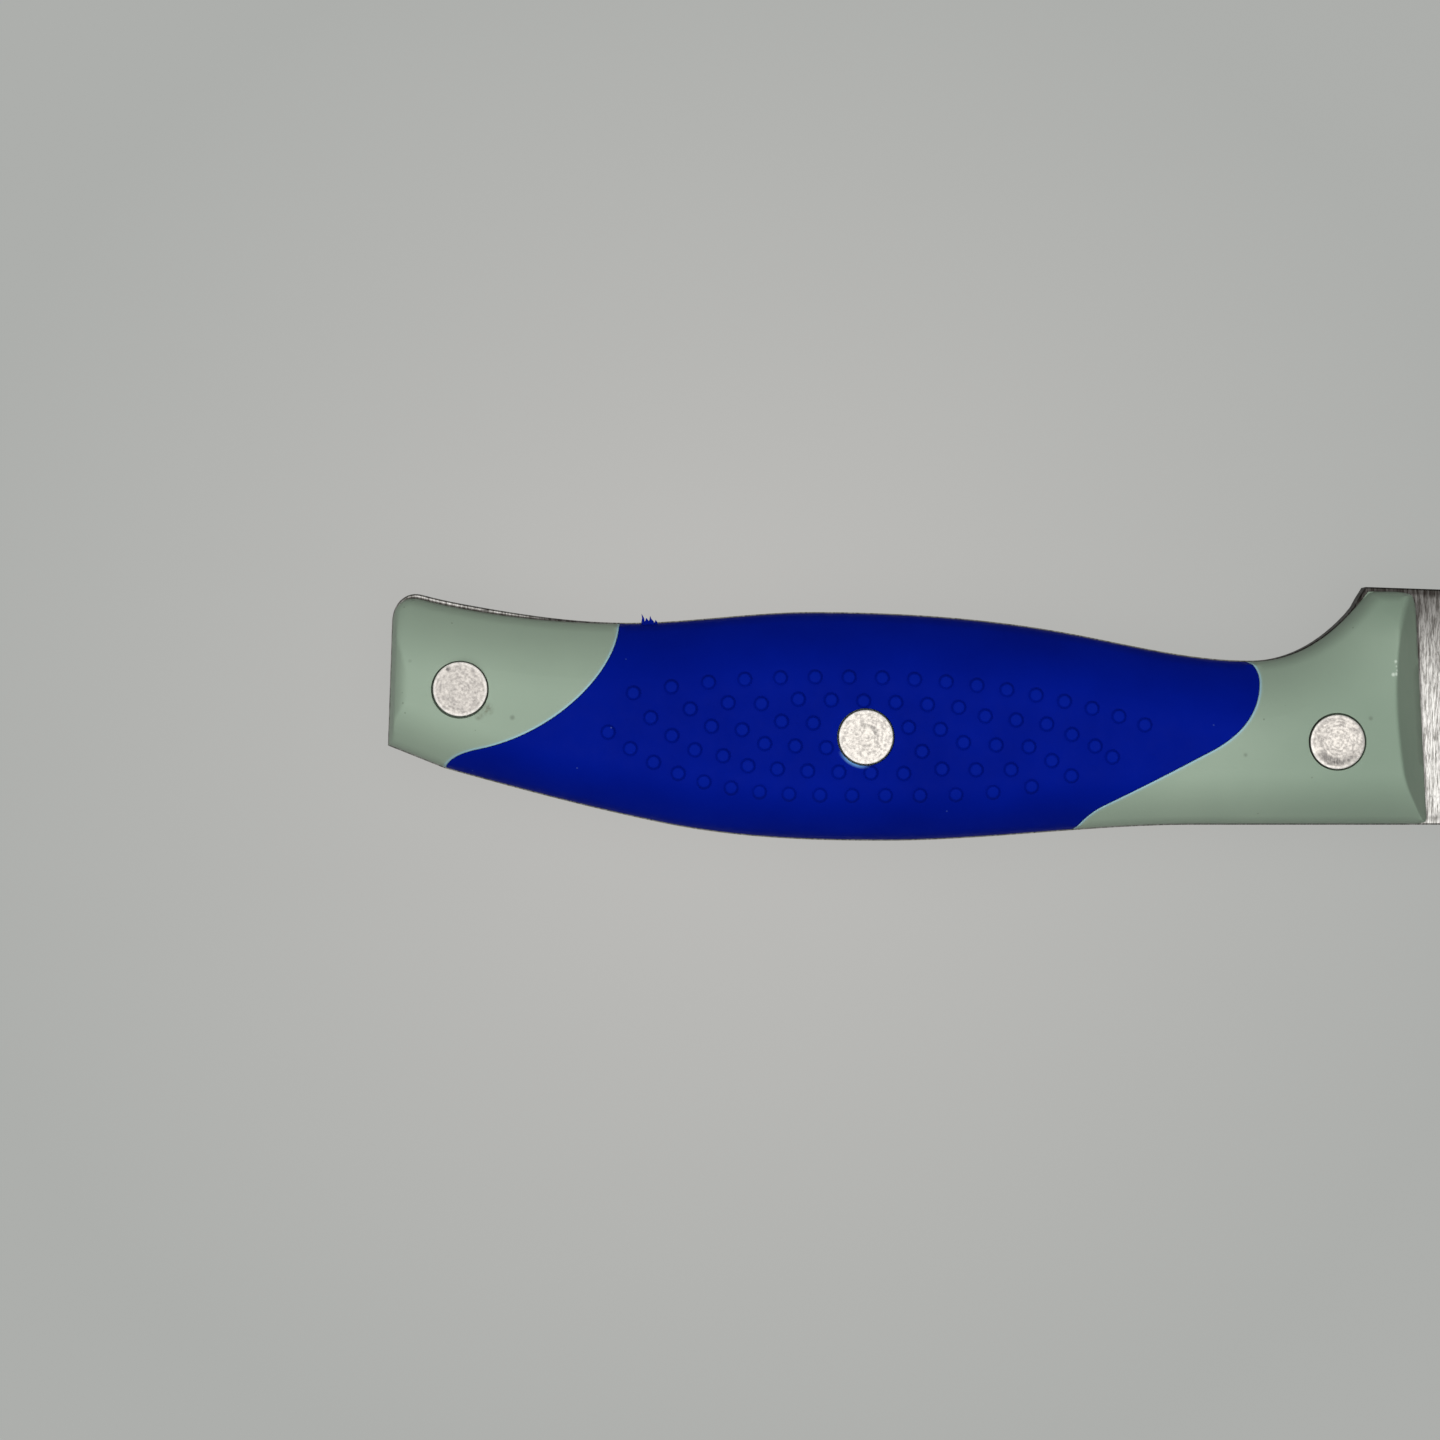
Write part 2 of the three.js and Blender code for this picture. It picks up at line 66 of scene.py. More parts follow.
seam = {
    # lit is the run of the painted highlight along the seam's edge on the hard moulding
    "gap": 0.25, "shown": 0.05, "round": 0.12, "lit": (0.08, 0.36),
    "scaleRings": (0.3, 0.5), "gripRings": (0.4,),
    # the grip's plan: a start, then each span's step and the points that pull it; it runs out past the handle
    "start": (-101.1, 39.1),
    "spans": [
        (2, (-101.1, 25.05)),
        (0.45, (-101.1, 18.55), (-109.2, 11.25), (-117.9, 9.45)),
        (0.45, (-119.9, 9.05), (-122.0, 8.55), (-123.1, 6.8)),
        (1, (-124.9, 3.1)), (2, (-117.9, -12.0)), (4, (-47.1, -12.0)), (2, (-44.8, -1.6)),
        (0.45, (-43.4, 1.2), (-41.1, 2.4)),
        (0.45, (-27.8, 9.35)),
        (0.45, (-24.5, 11.15), (-22.0, 14.0), (-21.6, 18.0)),
        (0.3, (-21.5, 20.3), (-23.7, 20.8)),
        (1, (-27.6, 39.1)), (4, (-101.1, 39.1)),
    ],
}
rib = {"inset": 7.0, "rear": -119.9, "front": -15.6, "top": 6.4}
rivets = {
    "places": {"pommel": (-120.5, 16.8), "grip": (-70.6, 10.9), "guard": (-12.6, 10.3)},
    "headRadius": 3.35, "headThickness": 1.9, "headSide": 0.9, "headEdge": 0.08,
    "headRim": 0.26, "rimFall": 0.05, "shankRadius": 1.7, "shankLength": 11.0, "tubeRadius": 2.6,
    "tubeShort": 1.2, "tubeFloor": 0.4, "clearance": 0.2,
    "hub": 0.03, "around": 96, "faceRings": 26, "wave": 0.004, "waveScale": 2.2,
    # the last pair is the band of a painted highlight round the grip's hole rim
    "headGap": 0.19, "mouthRound": 0.1, "mouthRing": 0.45, "mouthLipHighlight": (0.1, 0.4),
    "mouthShift": {"pommel": (-0.05, -0.07), "grip": (0, 0), "guard": (0.03, 0.02)},
}
steel = {
    "tangThickness": 3.0, "tangProud": 0.15, "tangEndProud": 0.6, "beakStrip": 10, "guardStrip": 2,
    "length": 165.0, "thickness": 2.8, "pointThickness": 1.0, "thinning": 70.0, "edgeBreak": 0.2,
    "edgeLine": [(-7.2, 29.7, -0.035), (62, 26.4, -0.08), (122, 18.6, -0.19), (165, 5.5, -0.42)],
    "backLine": [(88, -0.15, 0), (165, 5.5, 0.14)],
    "ricasso": 7.0, "plunge": 8.0, "grindShare": 0.52, "grindEdge": 0.6, "bevel": 1.3, "keenEdge": 0.02,
    "bevelMost": 0.25, "grindEdgeMost": 0.6, "breakMost": 0.3,  # shares of the height or the half
    "stations": [(-2.4, 24), (15, 66), (100, 56)], "sweep": 1.4,  # x and count, closer at the point
}

guardLow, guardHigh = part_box("guard_rivet_male")
steelLow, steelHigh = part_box("blade")
guardX, guardY = rivets["places"]["guard"]
drawnZero = np.array([
    (guardLow.x + guardHigh.x) / 2 - guardX / 1000,
    (guardLow.y + guardHigh.y) / 2 - guardY / 1000,
    (steelLow.z + steelHigh.z) / 2,
])


def toFrame(points):
    return np.asarray(points, float) / 1000 + drawnZero


def ease(value, low, high):
    t = np.clip((np.asarray(value, float) - low) / (high - low), 0, 1)
    return t * t * (3 - 2 * t)


def fade(value, low, high):
    return 1 - ease(value, low, high)


def bell(value, middle, width):
    return np.exp(-((value - middle) / width) ** 2)


def blendTo(a, b, share):
    return a + (b - a) * share


def pairs(x, y):
    return np.column_stack([x, y])


# lines and outlines


def lineHeight(knots, x):
    table = np.array(knots, float)
    x = np.asarray(x, float)
    i = np.clip(np.searchsorted(table[:, 0], x) - 1, 0, len(table) - 2)
    a, b = table[i], table[i + 1]
    run = b[..., 0] - a[..., 0]
    s = (x - a[..., 0]) / run
    left = (a[..., 1] * (1 + 2 * s) + a[..., 2] * run * s) * (1 - s) ** 2
    return left + (b[..., 1] * (3 - 2 * s) - b[..., 2] * run * (1 - s)) * s ** 2


def straight(a, b, step):
    count = max(2, math.ceil(math.dist(a, b) / step) + 1)
    return np.linspace(a, b, count)


def bezier(a, b, c, d, step):
    a, b, c, d = (np.array(p, float) for p in (a, b, c, d))
    count = max(4, math.ceil((math.dist(a, b) + math.dist(b, c) + math.dist(c, d)) / step) + 1)
    t = np.linspace(0, 1, count)[:, None]
    return a * (1 - t) ** 3 + 3 * b * t * (1 - t) ** 2 + 3 * c * t * t * (1 - t) + d * t ** 3


def roundCorner(a, corner, b, step):  # a round from a to b, tangent at both ends
    a, corner, b = (np.array(p, float) for p in (a, corner, b))
    return bezier(a, a + (corner - a) / 1.5, b + (corner - b) / 1.5, b, step)


def closedLoop(*spans):
    points = np.vstack(spans)
    return points[np.linalg.norm(points - np.roll(points, 1, 0), axis=1) > 1e-5]


def cornerNormals(loop):  # mitred, pointing into an anticlockwise loop
    side = np.roll(loop, -1, 0) - loop
    side = pairs(-side[:, 1], side[:, 0]) / np.linalg.norm(side, axis=1)[:, None]
    before = np.roll(side, 1, 0)
    return (before + side) / (1 + (before * side).sum(1))[:, None]


def nearestOn(points, loop):  # distance to a closed loop
    a, along = loop, np.roll(loop, -1, 0) - loop
    squared = (along ** 2).sum(1)
    distance = np.empty(len(points))
    for start in range(0, len(points), 500):
        offset = points[start:start + 500, None, :] - a[None]
        t = np.clip((offset * along).sum(2) / squared, 0, 1)
        distance[start:start + 500] = np.linalg.norm(offset - t[..., None] * along, axis=2).min(1)
    return distance


def gapTo(points, centres):  # distance to the nearest of some centres
    return np.min([np.hypot(*(points - centre).T) for centre in centres], 0)


def oddCrossings(points, starts, ends):  # which points lie inside the sides from starts to ends
    x, y = points[:, 0], points[:, 1]
    found = np.zeros(len(points), bool)
    for (ax, ay), (bx, by) in zip(starts, ends):
        if ay != by:
            crosses = (ay > y) != (by > y)
            found ^= crosses & (x < (bx - ax) * (y - ay) / (by - ay) + ax)
    return found


def inside(points, loop):
    return oddCrossings(points, loop, np.roll(loop, -1, 0))


step, endX = handle["step"], handle["end"]
spineLine, fingerLine = handle["spineLine"], handle["fingerLine"]
tailX, tailY = spineLine[0][:2]
beakX, beakY, beakSlope = fingerLine[0]
beakAlong, beakDown = handle["beakRound"]
tipX, guardHeight, tipSlope = fingerLine[-1]
neckX, backX = fingerLine[-2][0], spineLine[-1][0]


def spineEdge(x):
    rear = blendTo(handle["toeHeight"], tailY, (x - endX) / (tailX - endX))
    return np.where(x < tailX, rear, lineHeight(spineLine, np.clip(x, tailX, backX)))


def fingerEdge(x):
    behind = np.maximum(beakX - x, 0)
    turn = 1 - (1 - np.minimum(1, behind / beakAlong) ** handle["beakPower"]) ** (1 / handle["beakPower"])
    rear = beakY - beakSlope * behind - (beakDown - beakSlope * beakAlong) * turn
    return np.where(x < beakX, rear, lineHeight(fingerLine, np.clip(x, beakX, tipX)))


def endShift(x, y):  # the pommel end leans: the beak stands ahead of the toe
    up = np.clip((y - handle["toeHeight"]) / (beakY - beakDown - handle["toeHeight"]), 0, 1)
    return handle["lean"] * up * fade(x, endX, tailX)


def leaned(x, y):
    return pairs(x + endShift(x, y), y)


def stationOf(points):
    x = points[:, 0]
    for _ in range(6):
        x = points[:, 0] - endShift(x, points[:, 1])
    return x


beakStations = beakX - beakAlong * np.sin(np.linspace(math.pi / 2, 0, 16))
gripStations = np.linspace(beakX, tipX, math.ceil((tipX - beakX) / step))
fingerStations = np.concatenate([beakStations, gripStations[1:]])
spineStations = np.concatenate([np.linspace(endX, tailX, 9), np.linspace(tailX, backX, 120)[1:]])
fingerSpan = leaned(fingerStations, fingerEdge(fingerStations))
spineSpan = leaned(spineStations, spineEdge(spineStations))
endSpan = straight(fingerSpan[0], spineSpan[0], step)
leanAngle = math.atan2(nose["lean"], guardHeight)
leanCos, leanSin = math.cos(leanAngle), math.sin(leanAngle)
spineRound, fingerRound = nose["spineRound"], nose["fingerRound"]
noseTip = (-nose["lean"], guardHeight)
noseFoot = (-spineRound * leanSin, spineRound * leanCos)
noseHead = (noseTip[0] + fingerRound * leanSin, guardHeight - fingerRound * leanCos)
noseBack = (noseTip[0] - fingerRound, guardHeight)
handleEdge = closedLoop(
    spineSpan, straight(spineSpan[-1], (-spineRound, 0), step),
    roundCorner((-spineRound, 0), (0, 0), noseFoot, 0.2), straight(noseFoot, noseHead, step),
    roundCorner(noseHead, noseTip, noseBack, 0.25), straight(noseBack, fingerSpan[-1], step),
    fingerSpan[::-1], endSpan,
)


def drawGripPlan():  # one point pulls a straight, two a round, three a curve
    at, spans = seam["start"], []
    for fine, *pulls in seam["spans"]:
        draw = (straight, roundCorner, bezier)[len(pulls) - 1]
        spans.append(draw(at, *pulls, fine))
        at = pulls[-1]
    return closedLoop(*spans)


gripEdge = drawGripPlan()
socketEdge = gripEdge - cornerNormals(gripEdge) * seam["shown"]  # the soft moulding all but fills it
ribX = np.linspace(rib["rear"], rib["front"], 40)
ribEdge = np.vstack([
    pairs(ribX, spineEdge(ribX) + rib["inset"]),
    pairs(ribX, fingerEdge(ribX) - rib["inset"])[::-1],
])
ribRoom = ribEdge - cornerNormals(ribEdge) * seam["gap"]
print("outlines drawn:", len(handleEdge), "points round the handle")


# heights of the moulded handle above the tang


def fingerFlank(x):  # the finger edge, run on past the guard tip, and its shoulder
    hair = 0.05
    guardwards = ease(x, neckX, tipX)
    slope = (fingerEdge(x + hair) - fingerEdge(x - hair)) / (2 * hair)
    slope = np.where(x > tipX - 1.2 * hair, tipSlope, slope) * ease(x, *handle["squared"])
    slant = np.hypot(1, slope)
    reach, drop = (blendTo(a, b, guardwards) for a, b in zip(handle["fingerSide"], handle["guardSide"]))
    return fingerEdge(x) + tipSlope * np.maximum(x - tipX, 0), reach * slant, drop, slant


def wallLean(drop):  # the walls under the shoulders lean in
    return handle["draft"] * (handle["thickness"] - drop)


def fall(distance, reach, drop, slant=1.0):
    lean = wallLean(drop) * slant
    wall = (handle["thickness"] - drop) * (1 - np.clip(distance / lean, 0, 1))
    return drop * (1 - np.clip((distance - lean) / reach, 0, 1)) ** 2 + wall


def shoulderHeight(points):
    x, y = stationOf(points), points[:, 1]
    flank, reach, drop, slant = fingerFlank(x)
    falls = np.array([
        fall(flank - y, reach, drop, slant),
        fall(guardHeight - y, *handle["guardSide"]) * (x > neckX),
        fall(y - spineEdge(x), *handle["spineSide"]),
        fall(x - endX, *handle["endSide"]),
    ])
    power = handle["blend"]
    return handle["thickness"] - (falls ** power).sum(0) ** (1 / power)


def noseRun(up):  # the facet is widest in the middle
    outwards = np.minimum(1, np.abs(2 * up / guardHeight - 1))
    return nose["run"] * (1 - nose["arch"] * outwards ** nose["archPower"])


def noseHeight(points):
    ahead = points[:, 0] * leanCos + points[:, 1] * leanSin
    up = points[:, 1] * leanCos - points[:, 0] * leanSin
    return nose["land"] - (handle["thickness"] - nose["land"]) * ahead / noseRun(up)


def roundDrop(distance, radius):  # how far a rounded rim falls away towards its edge
    near = np.clip(radius - distance, 0, radius)
    return radius - np.sqrt(radius ** 2 - near ** 2)


def slabHeight(points):
    slab, facet = shoulderHeight(points), noseHeight(points)
    low, high = (guardHeight - down for down in nose["topBand"])
    k = blendTo(nose["crease"], nose["topCrease"], ease(points[:, 1], low, high))
    h = np.clip(0.5 + 0.5 * (facet - slab) / k, 0, 1)  # the flat turns into the nose in a round
    return np.maximum(blendTo(facet, slab, h) - k * h * (1 - h), handle["thinnest"])


def roundOffsets(radius, count):
    return [radius * (1 - math.cos(a)) for a in np.linspace(0, math.pi / 2, count)]


def rimLines(edge, radius, way, extra):  # lines that carry the round of a rim
    return [edge + way * cornerNormals(edge) * offset for offset in (*roundOffsets(radius, 5), *extra)]


def circle(centre, radius, count):
    a = np.arange(count) * 2 * math.pi / count
    return pairs(centre[0] + radius * np.cos(a), centre[1] + radius * np.sin(a))


def shoulderLines():
    noseShort, ringShort, ringCount, far = 0.6, 0.4, 22, 99.0
    x = np.concatenate([fingerStations, np.linspace(tipX, -noseShort, 14)[1:]])
    flank, reach, drop, slant = fingerFlank(x)
    guardReach, guardDrop = handle["guardSide"]
    spineReach, spineDrop = handle["spineSide"]
    endReach, endDrop = handle["endSide"]
    lines = []
    for share in np.linspace(0, 1, handle["rings"] + 1):
        level = np.where(x > tipX, guardHeight - wallLean(guardDrop) - guardReach * share, far)
        lines.append(leaned(x, np.minimum(flank - wallLean(drop) * slant - reach * share, level)))
        lines.append(leaned(x, spineEdge(x) + wallLean(spineDrop) + spineReach * share))
    for share in handle["endRings"]:
        across = endX + wallLean(endDrop) + endReach * share
        y = np.linspace(spineEdge(across) + ringShort, fingerEdge(across) - ringShort, ringCount)
        lines.append(leaned(np.full(ringCount, across), y))
    lines.append(np.add((tipX, guardHeight), nose["tipCrease"]))
    return lines


def creaseLines():
    count, trim, deepest = 60, 0.06, -7.0
    up = guardHeight * (0.5 - 0.5 * np.cos(np.linspace(trim, math.pi - trim, count)))

    def spot(ahead):
        return pairs(ahead * leanCos - up * leanSin, ahead * leanSin + up * leanCos)

    low, high = np.full(count, deepest), np.zeros(count)
    for _ in range(40):  # where the facet comes out of the rounded flat
        middle = (low + high) / 2
        above = noseHeight(spot(middle)) > shoulderHeight(spot(middle))
        low, high = np.where(above, middle, low), np.where(above, high, middle)
    return [spot(low + offset) for offset in (-0.4, -0.2, 0, 0.2, 0.4)] + [spot(low * 0.6), spot(low * 0.3)]


# flat nets of triangles, and closed solids raised from them


def sidesOf(ring):
    return zip(ring, np.roll(ring, -1))


def triangles(points, edges):  # a net that keeps the edges, turned anticlockwise, and its areas
    made = geometry.delaunay_2d_cdt([Vector(p) for p in points], edges, [], 0, 1e-4)
    flat = np.array([tuple(v) for v in made[0]])
    tris = np.array([f for f in made[2] if len(f) == 3])
    a, b, c = flat[tris[:, 0]], flat[tris[:, 1]], flat[tris[:, 2]]
    area = (b[:, 0] - a[:, 0]) * (c[:, 1] - a[:, 1]) - (b[:, 1] - a[:, 1]) * (c[:, 0] - a[:, 0])
    tris[area < 0] = tris[area < 0][:, ::-1]
    return flat, tris, np.abs(area)


def addLine(points, edges, line, closed):
    first, count = len(points), len(line)
    points.extend(line)
    edges.extend((first + i, first + (i + 1) % count) for i in range(count if closed else count - 1))


def flatNet(lines, loose=()):
    points, edges = [], []
    for line, closed in lines:
        addLine(points, edges, line, closed)
    points.extend(loose)
    flat, tris, area = triangles(points, edges)
    return flat, tris[area > 1e-9]


def raisedSolid(flat, tris, topLevel, heights, floorLines, floorLevel):
    # topLevel gives each triangle's level or -1; floorLevel says how high the underside is at a point
    points, faces, number = [], [], {}

    def corner(key, x, y, z):
        if key not in number:
            number[key] = len(points)
            points.append((x, y, z))
        return number[key]

    def topCorner(v, level):
        return corner(("top", v, level), *flat[v], heights[level][v])

    edgeOwner = {}
    for tri, level in zip(tris, topLevel):
        if level >= 0:
            faces.append([topCorner(v, level) for v in tri])
            edgeOwner.update({side: level for side in sidesOf(tri)})
    rim = [(a, b, level) for (a, b), level in edgeOwner.items() if (b, a) not in edgeOwner]
    for (a, b), level in edgeOwner.items():
        other = edgeOwner.get((b, a), level)
        if other > level:  # a step between two levels
            faces.append([topCorner(b, level), topCorner(a, level), topCorner(a, other), topCorner(b, other)])
    used = sorted({v for a, b, _ in rim for v in (a, b)})
    order = {v: i for i, v in enumerate(used)}
    floorPoints = [flat[v] for v in used]
    edges = [(order[a], order[b]) for a, b, _ in rim]
    for line in floorLines:
        addLine(floorPoints, edges, line, True)
    ground, cells, _ = triangles(floorPoints, edges)
    middle = ground[cells].mean(1)
    covered = oddCrossings(middle, flat[[a for a, _, _ in rim]], flat[[b for _, b, _ in rim]])

    def floorCorner(v, z):
        return corner(("floor", v, z), *ground[v], z)

    cellOwner = {}
    for cell, z, keep in zip(cells, floorLevel(middle), covered):
        if keep:
            faces.append([floorCorner(v, z) for v in cell[::-1]])
            cellOwner.update({side: z for side in sidesOf(cell)})
    for (p, q), z in cellOwner.items():
        other = cellOwner.get((q, p), z)
        if other > z:
            faces.append([floorCorner(p, other), floorCorner(q, other), floorCorner(q, z), floorCorner(p, z)])
    place = {(round(x, 3), round(y, 3)): i for i, (x, y) in enumerate(ground)}
    for a, b, top in rim:
        p, q = place[tuple(np.round(flat[a], 3))], place[tuple(np.round(flat[b], 3))]
        z = cellOwner.get((p, q))
        if z is not None:
            faces.append([topCorner(b, top), topCorner(a, top), floorCorner(p, z), floorCorner(q, z)])
    return np.array(points), faces


def twoSidedSolid(flat, tris, half):  # equal skins above and below the middle, joined round the rim
    used = np.unique(tris)
    order = np.full(len(flat), -1)
    order[used] = np.arange(len(used))
    tris, flat, half, count = order[tris], flat[used], half[used], len(used)
    points = np.vstack([pairs(flat, half), pairs(flat, -half)])
    edges = {side for tri in tris for side in sidesOf(tri)}
    faces = [list(tri) for tri in tris] + [list(tri[::-1] + count) for tri in tris]
    faces += [[a + count, b + count, b, a] for a, b in edges if (b, a) not in edges]
    return points, faces


def addObject(name, data, place):
    made = bpy.data.objects.new(name, data)
    made.location = place
    bpy.context.scene.collection.objects.link(made)
    return made


def addPiece(name, points, faces, material, node,
             sharpAngle=38, turnOver=False, traits=None, at=(0, 0, 0)):
    points = np.array(points, float)
    if turnOver:  # the right side mirrors the left one through the steel
        points[:, 2] *= -1
        faces = [f[::-1] for f in faces]
    mesh = bpy.data.meshes.new(name)
    mesh.from_pydata((points / 1000).tolist(), [], [[int(v) for v in f] for f in faces])
    mesh.validate()
    mesh.update()
    mesh.shade_smooth()
    mesh.set_sharp_from_angle(angle=math.radians(sharpAngle))
    for trait, values in (traits or {}).items():
        mesh.attributes.new(trait, "FLOAT", "POINT").data.foreach_set("value", values.astype(np.float32))
    mesh.materials.append(material)
    piece = addObject(name, mesh, toFrame(at))
    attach(piece, "root")
    if node:
        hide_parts(node)


# finishes; their coordinates are those of the drawing, in millimetres


def paint(red, green, blue):  # a colour as read off a screen, 0 to 255
    def toLight(c):
        c /= 255
        return c / 12.92 if c <= 0.04045 else ((c + 0.055) / 1.055) ** 2.4
    return (toLight(red), toLight(green), toLight(blue), 1)


work = {}  # holds the tree of the finish that is being made


def startFinish(name):
    material = bpy.data.materials.new(name)
    material.use_nodes = True
    work["tree"] = material.node_tree
    return material


def addNode(kind, inputs=None, **settings):
    tree = work["tree"]
    made = tree.nodes.new(kind)
    for key, value in settings.items():
        setattr(made, key, value)
    for key, value in (inputs or {}).items():
        if isinstance(value, bpy.types.NodeSocket):
            tree.links.new(value, made.inputs[key])
        else:
            made.inputs[key].default_value = value
    return made


def millimetres(stretch=(1, 1, 1)):
    spot = addNode("ShaderNodeTexCoord")
    scale = tuple(1000 * s for s in stretch)
    return addNode("ShaderNodeMapping", {"Vector": spot.outputs["Object"], "Scale": scale}).outputs[0]


def cloud(where, scale, detail=3.0, roughness=0.5):
    made = addNode("ShaderNodeTexNoise", {
        "Vector": where, "Scale": scale, "Detail": detail, "Roughness": roughness})
    return made.outputs["Fac"]


def ranged(value, low, high, toLow, toHigh):
    made = addNode("ShaderNodeMapRange", {
        "Value": value, "From Min": low, "From Max": high, "To Min": toLow, "To Max": toHigh})
    return made.outputs["Result"]


def times(a, b, operation="MULTIPLY"):
    return addNode("ShaderNodeMath", {0: a, 1: b}, operation=operation).outputs[0]


def tinted(share, a, b):
    made = addNode("ShaderNodeMix", {0: share, 6: a, 7: b}, data_type="RGBA")
    return made.outputs[2]


def specks(where, scale, size):  # few small round marks
    core, bare = 0.6, 0.62  # the dark share of a speck, and the share of cells without one
    cells = addNode("ShaderNodeTexVoronoi", {"Vector": where, "Scale": scale})
    dots = ranged(cells.outputs["Distance"], size * core, size, 1.0, 0.0)
    chosen = addNode("ShaderNodeSeparateColor", {0: cells.outputs["Color"]}).outputs[0]
    return times(dots, times(chosen, bare, "GREATER_THAN"))


def near(point, core, reach):  # 1 round a drawn point, falling to 0 at its reach
    gap = addNode("ShaderNodeVectorMath", {0: millimetres(), 1: point}, operation="DISTANCE")
    return ranged(gap.outputs["Value"], core, reach, 1.0, 0.0)


def marksAt(marks):  # the strongest of a list of (point, core, reach)
    found = None
    for mark in marks:
        spot = near(*mark)
        found = spot if found is None else times(found, spot, "MAXIMUM")
    return found


def trait(name):
    return addNode("ShaderNodeAttribute", attribute_name=name).outputs["Fac"]


def drift(where, scale, detail, low, high):  # a cloud that runs between two values
    return ranged(cloud(where, scale, detail), 0.3, 0.7, low, high)


def grained(where, fine, broad, share):
    return times(cloud(where, fine, 2), times(cloud(where, broad, 2), share), "ADD")


def layered(colour, *layers):  # each layer is a mark, its strength and its colour
    for mark, strength, tint in layers:
        colour = tinted(times(mark, strength), colour, tint)
    return colour


def dress(colour, rough, height, own):
    bump = addNode("ShaderNodeBump", {"Height": height, "Strength": 1.0, "Distance": own["depth"] / 1000})
    tree = work["tree"]
    inputs = tree.nodes["Principled BSDF"].inputs
    for key, value in (("Base Color", colour), ("Roughness", rough), ("Normal", bump.outputs["Normal"])):
        tree.links.new(value, inputs[key])
    for key, value in own["set"].items():
        inputs[key].default_value = value


hardFinish = {
    "pale": paint(156, 174, 155), "deep": paint(149, 167, 149), "speck": paint(100, 108, 96),
    "smudge": paint(112, 114, 98), "seamHighlight": paint(160, 205, 224), "filmAndShade": paint(115, 137, 119),
    "bare": paint(214, 226, 212), "roughness": (0.42, 0.54),
    "set": {"Specular IOR Level": 0.1}, "depth": 0.014,
    "tone": (0.06, 3), "sheen": (0.8, 4), "grain": (6.0, 0.5, 0.6), "specks": (0.33, 0.05),
    "blotch": (1.8, 4, 0.7), "blotched": (0.36, 0.6, 0.1, 0.75),
    # a mark is a point, a core and a reach; the film lies where the guard is handled, and is partly painted
    # shade that darkens the guard's shoulder and the front flat
    "filmedAndShaded": [((-5.0, 27.5, 6.5), 1.5, 8.5), ((-7.0, 11.0, 9.0), 3.0, 20.0)],
    "smudges": [((-117.2, 14.3, 9.5), 0.2, 1.0), ((-118.2, 13.5, 9.5), 0.1, 0.7)],
    "dots": [((-114.1, 13.3, 9.5), 0.12, 0.42), ((-121.5, 10.9, 9.5), 0.05, 0.35),
             ((-126.7, 20.3, 9.5), 0.05, 0.35), ((-8.5, 13.2, 9.5), 0.1, 0.36),
             ((-7.4, 2.9, 8.6), 0.05, 0.4), ((-23.9, 8.7, 9.5), 0.05, 0.35)],
    "nick": [((-5.7, 18.6, 9.4), 0.1, 0.3), ((-5.3, 18.65, 9.3), 0.1, 0.3), ((-5.25, 19.1, 9.2), 0.03, 0.2),
             ((-5.3, 19.6, 9.2), 0.03, 0.18), ((-5.35, 20.2, 9.2), 0.05, 0.26)],
}


def makeHardPlastic():
    material = startFinish("satinGreenPlastic")
    where, own = millimetres(), hardFinish
    nick = marksAt(own["nick"])
    blotches = ranged(cloud(where, *own["blotch"]), *own["blotched"])
    colour = layered(
        tinted(drift(where, *own["tone"], 0, 1), own["deep"], own["pale"]),
        # a handling film, partly painted shade over the guard's shoulder and the front flat
        (marksAt(own["filmedAndShaded"]), 0.45, own["filmAndShade"]),
        (specks(where, *own["specks"]), 0.5, own["speck"]),
        (marksAt(own["smudges"]), blotches, own["smudge"]),
        (marksAt(own["dots"]), 0.5, own["speck"]),
        (nick, 0.8, own["bare"]),
        # a painted highlight along the seam's rounded edge
        (trait("seamHighlightBand"), 0.7, own["seamHighlight"]),
    )
    height = times(grained(where, *own["grain"]), nick, "ADD")
    dress(colour, drift(where, *own["sheen"], *own["roughness"]), height, own)
    return material


softFinish = {
    "deep": paint(0, 20, 131), "pale": paint(0, 23, 141), "worn": paint(3, 31, 152),
    # the pale lip colour is a painted highlight on the lower left of the grip's hole rim
    "dust": paint(96, 122, 190), "pipShade": paint(0, 11, 88), "lip": paint(104, 156, 212),
    "roughness": (0.56, 0.70), "set": {"Specular IOR Level": 0.02}, "depth": 0.012,
    "tone": (0.1, 3), "sheen": (0.7, 4), "grain": (8.0, 0.6, 0.7), "specks": (0.22, 0.03),
    "lipHighlightAt": ((-72.3, 7.6, 9.5), 0.7, 2.3),
    "dusts": [((-101.9, 12.1, 9.8), 0.04, 0.16), ((-27.8, 12.4, 9.5), 0.04, 0.2)],
}


def makeSoftPlastic():
    material = startFinish("softBlueGrip")
    where, own = millimetres(), softFinish
    colour = layered(
        tinted(drift(where, *own["tone"], 0, 1), own["deep"], own["pale"]),
        (trait("pipTop"), 0.4, own["worn"]),
        # painted shade in a ring round each pip's flank
        (trait("pipFlankShade"), 0.07, own["pipShade"]),
        (specks(where, *own["specks"]), 0.35, own["dust"]),
        (marksAt(own["dusts"]), 0.7, own["dust"]),
        # a painted highlight on the lower left of the grip's hole rim
        (times(trait("holeRimHighlight"), near(*own["lipHighlightAt"])), 0.9, own["lip"]),
    )
    rough = drift(where, *own["sheen"], *own["roughness"])
    dress(colour, rough, grained(where, *own["grain"]), own)
    return material


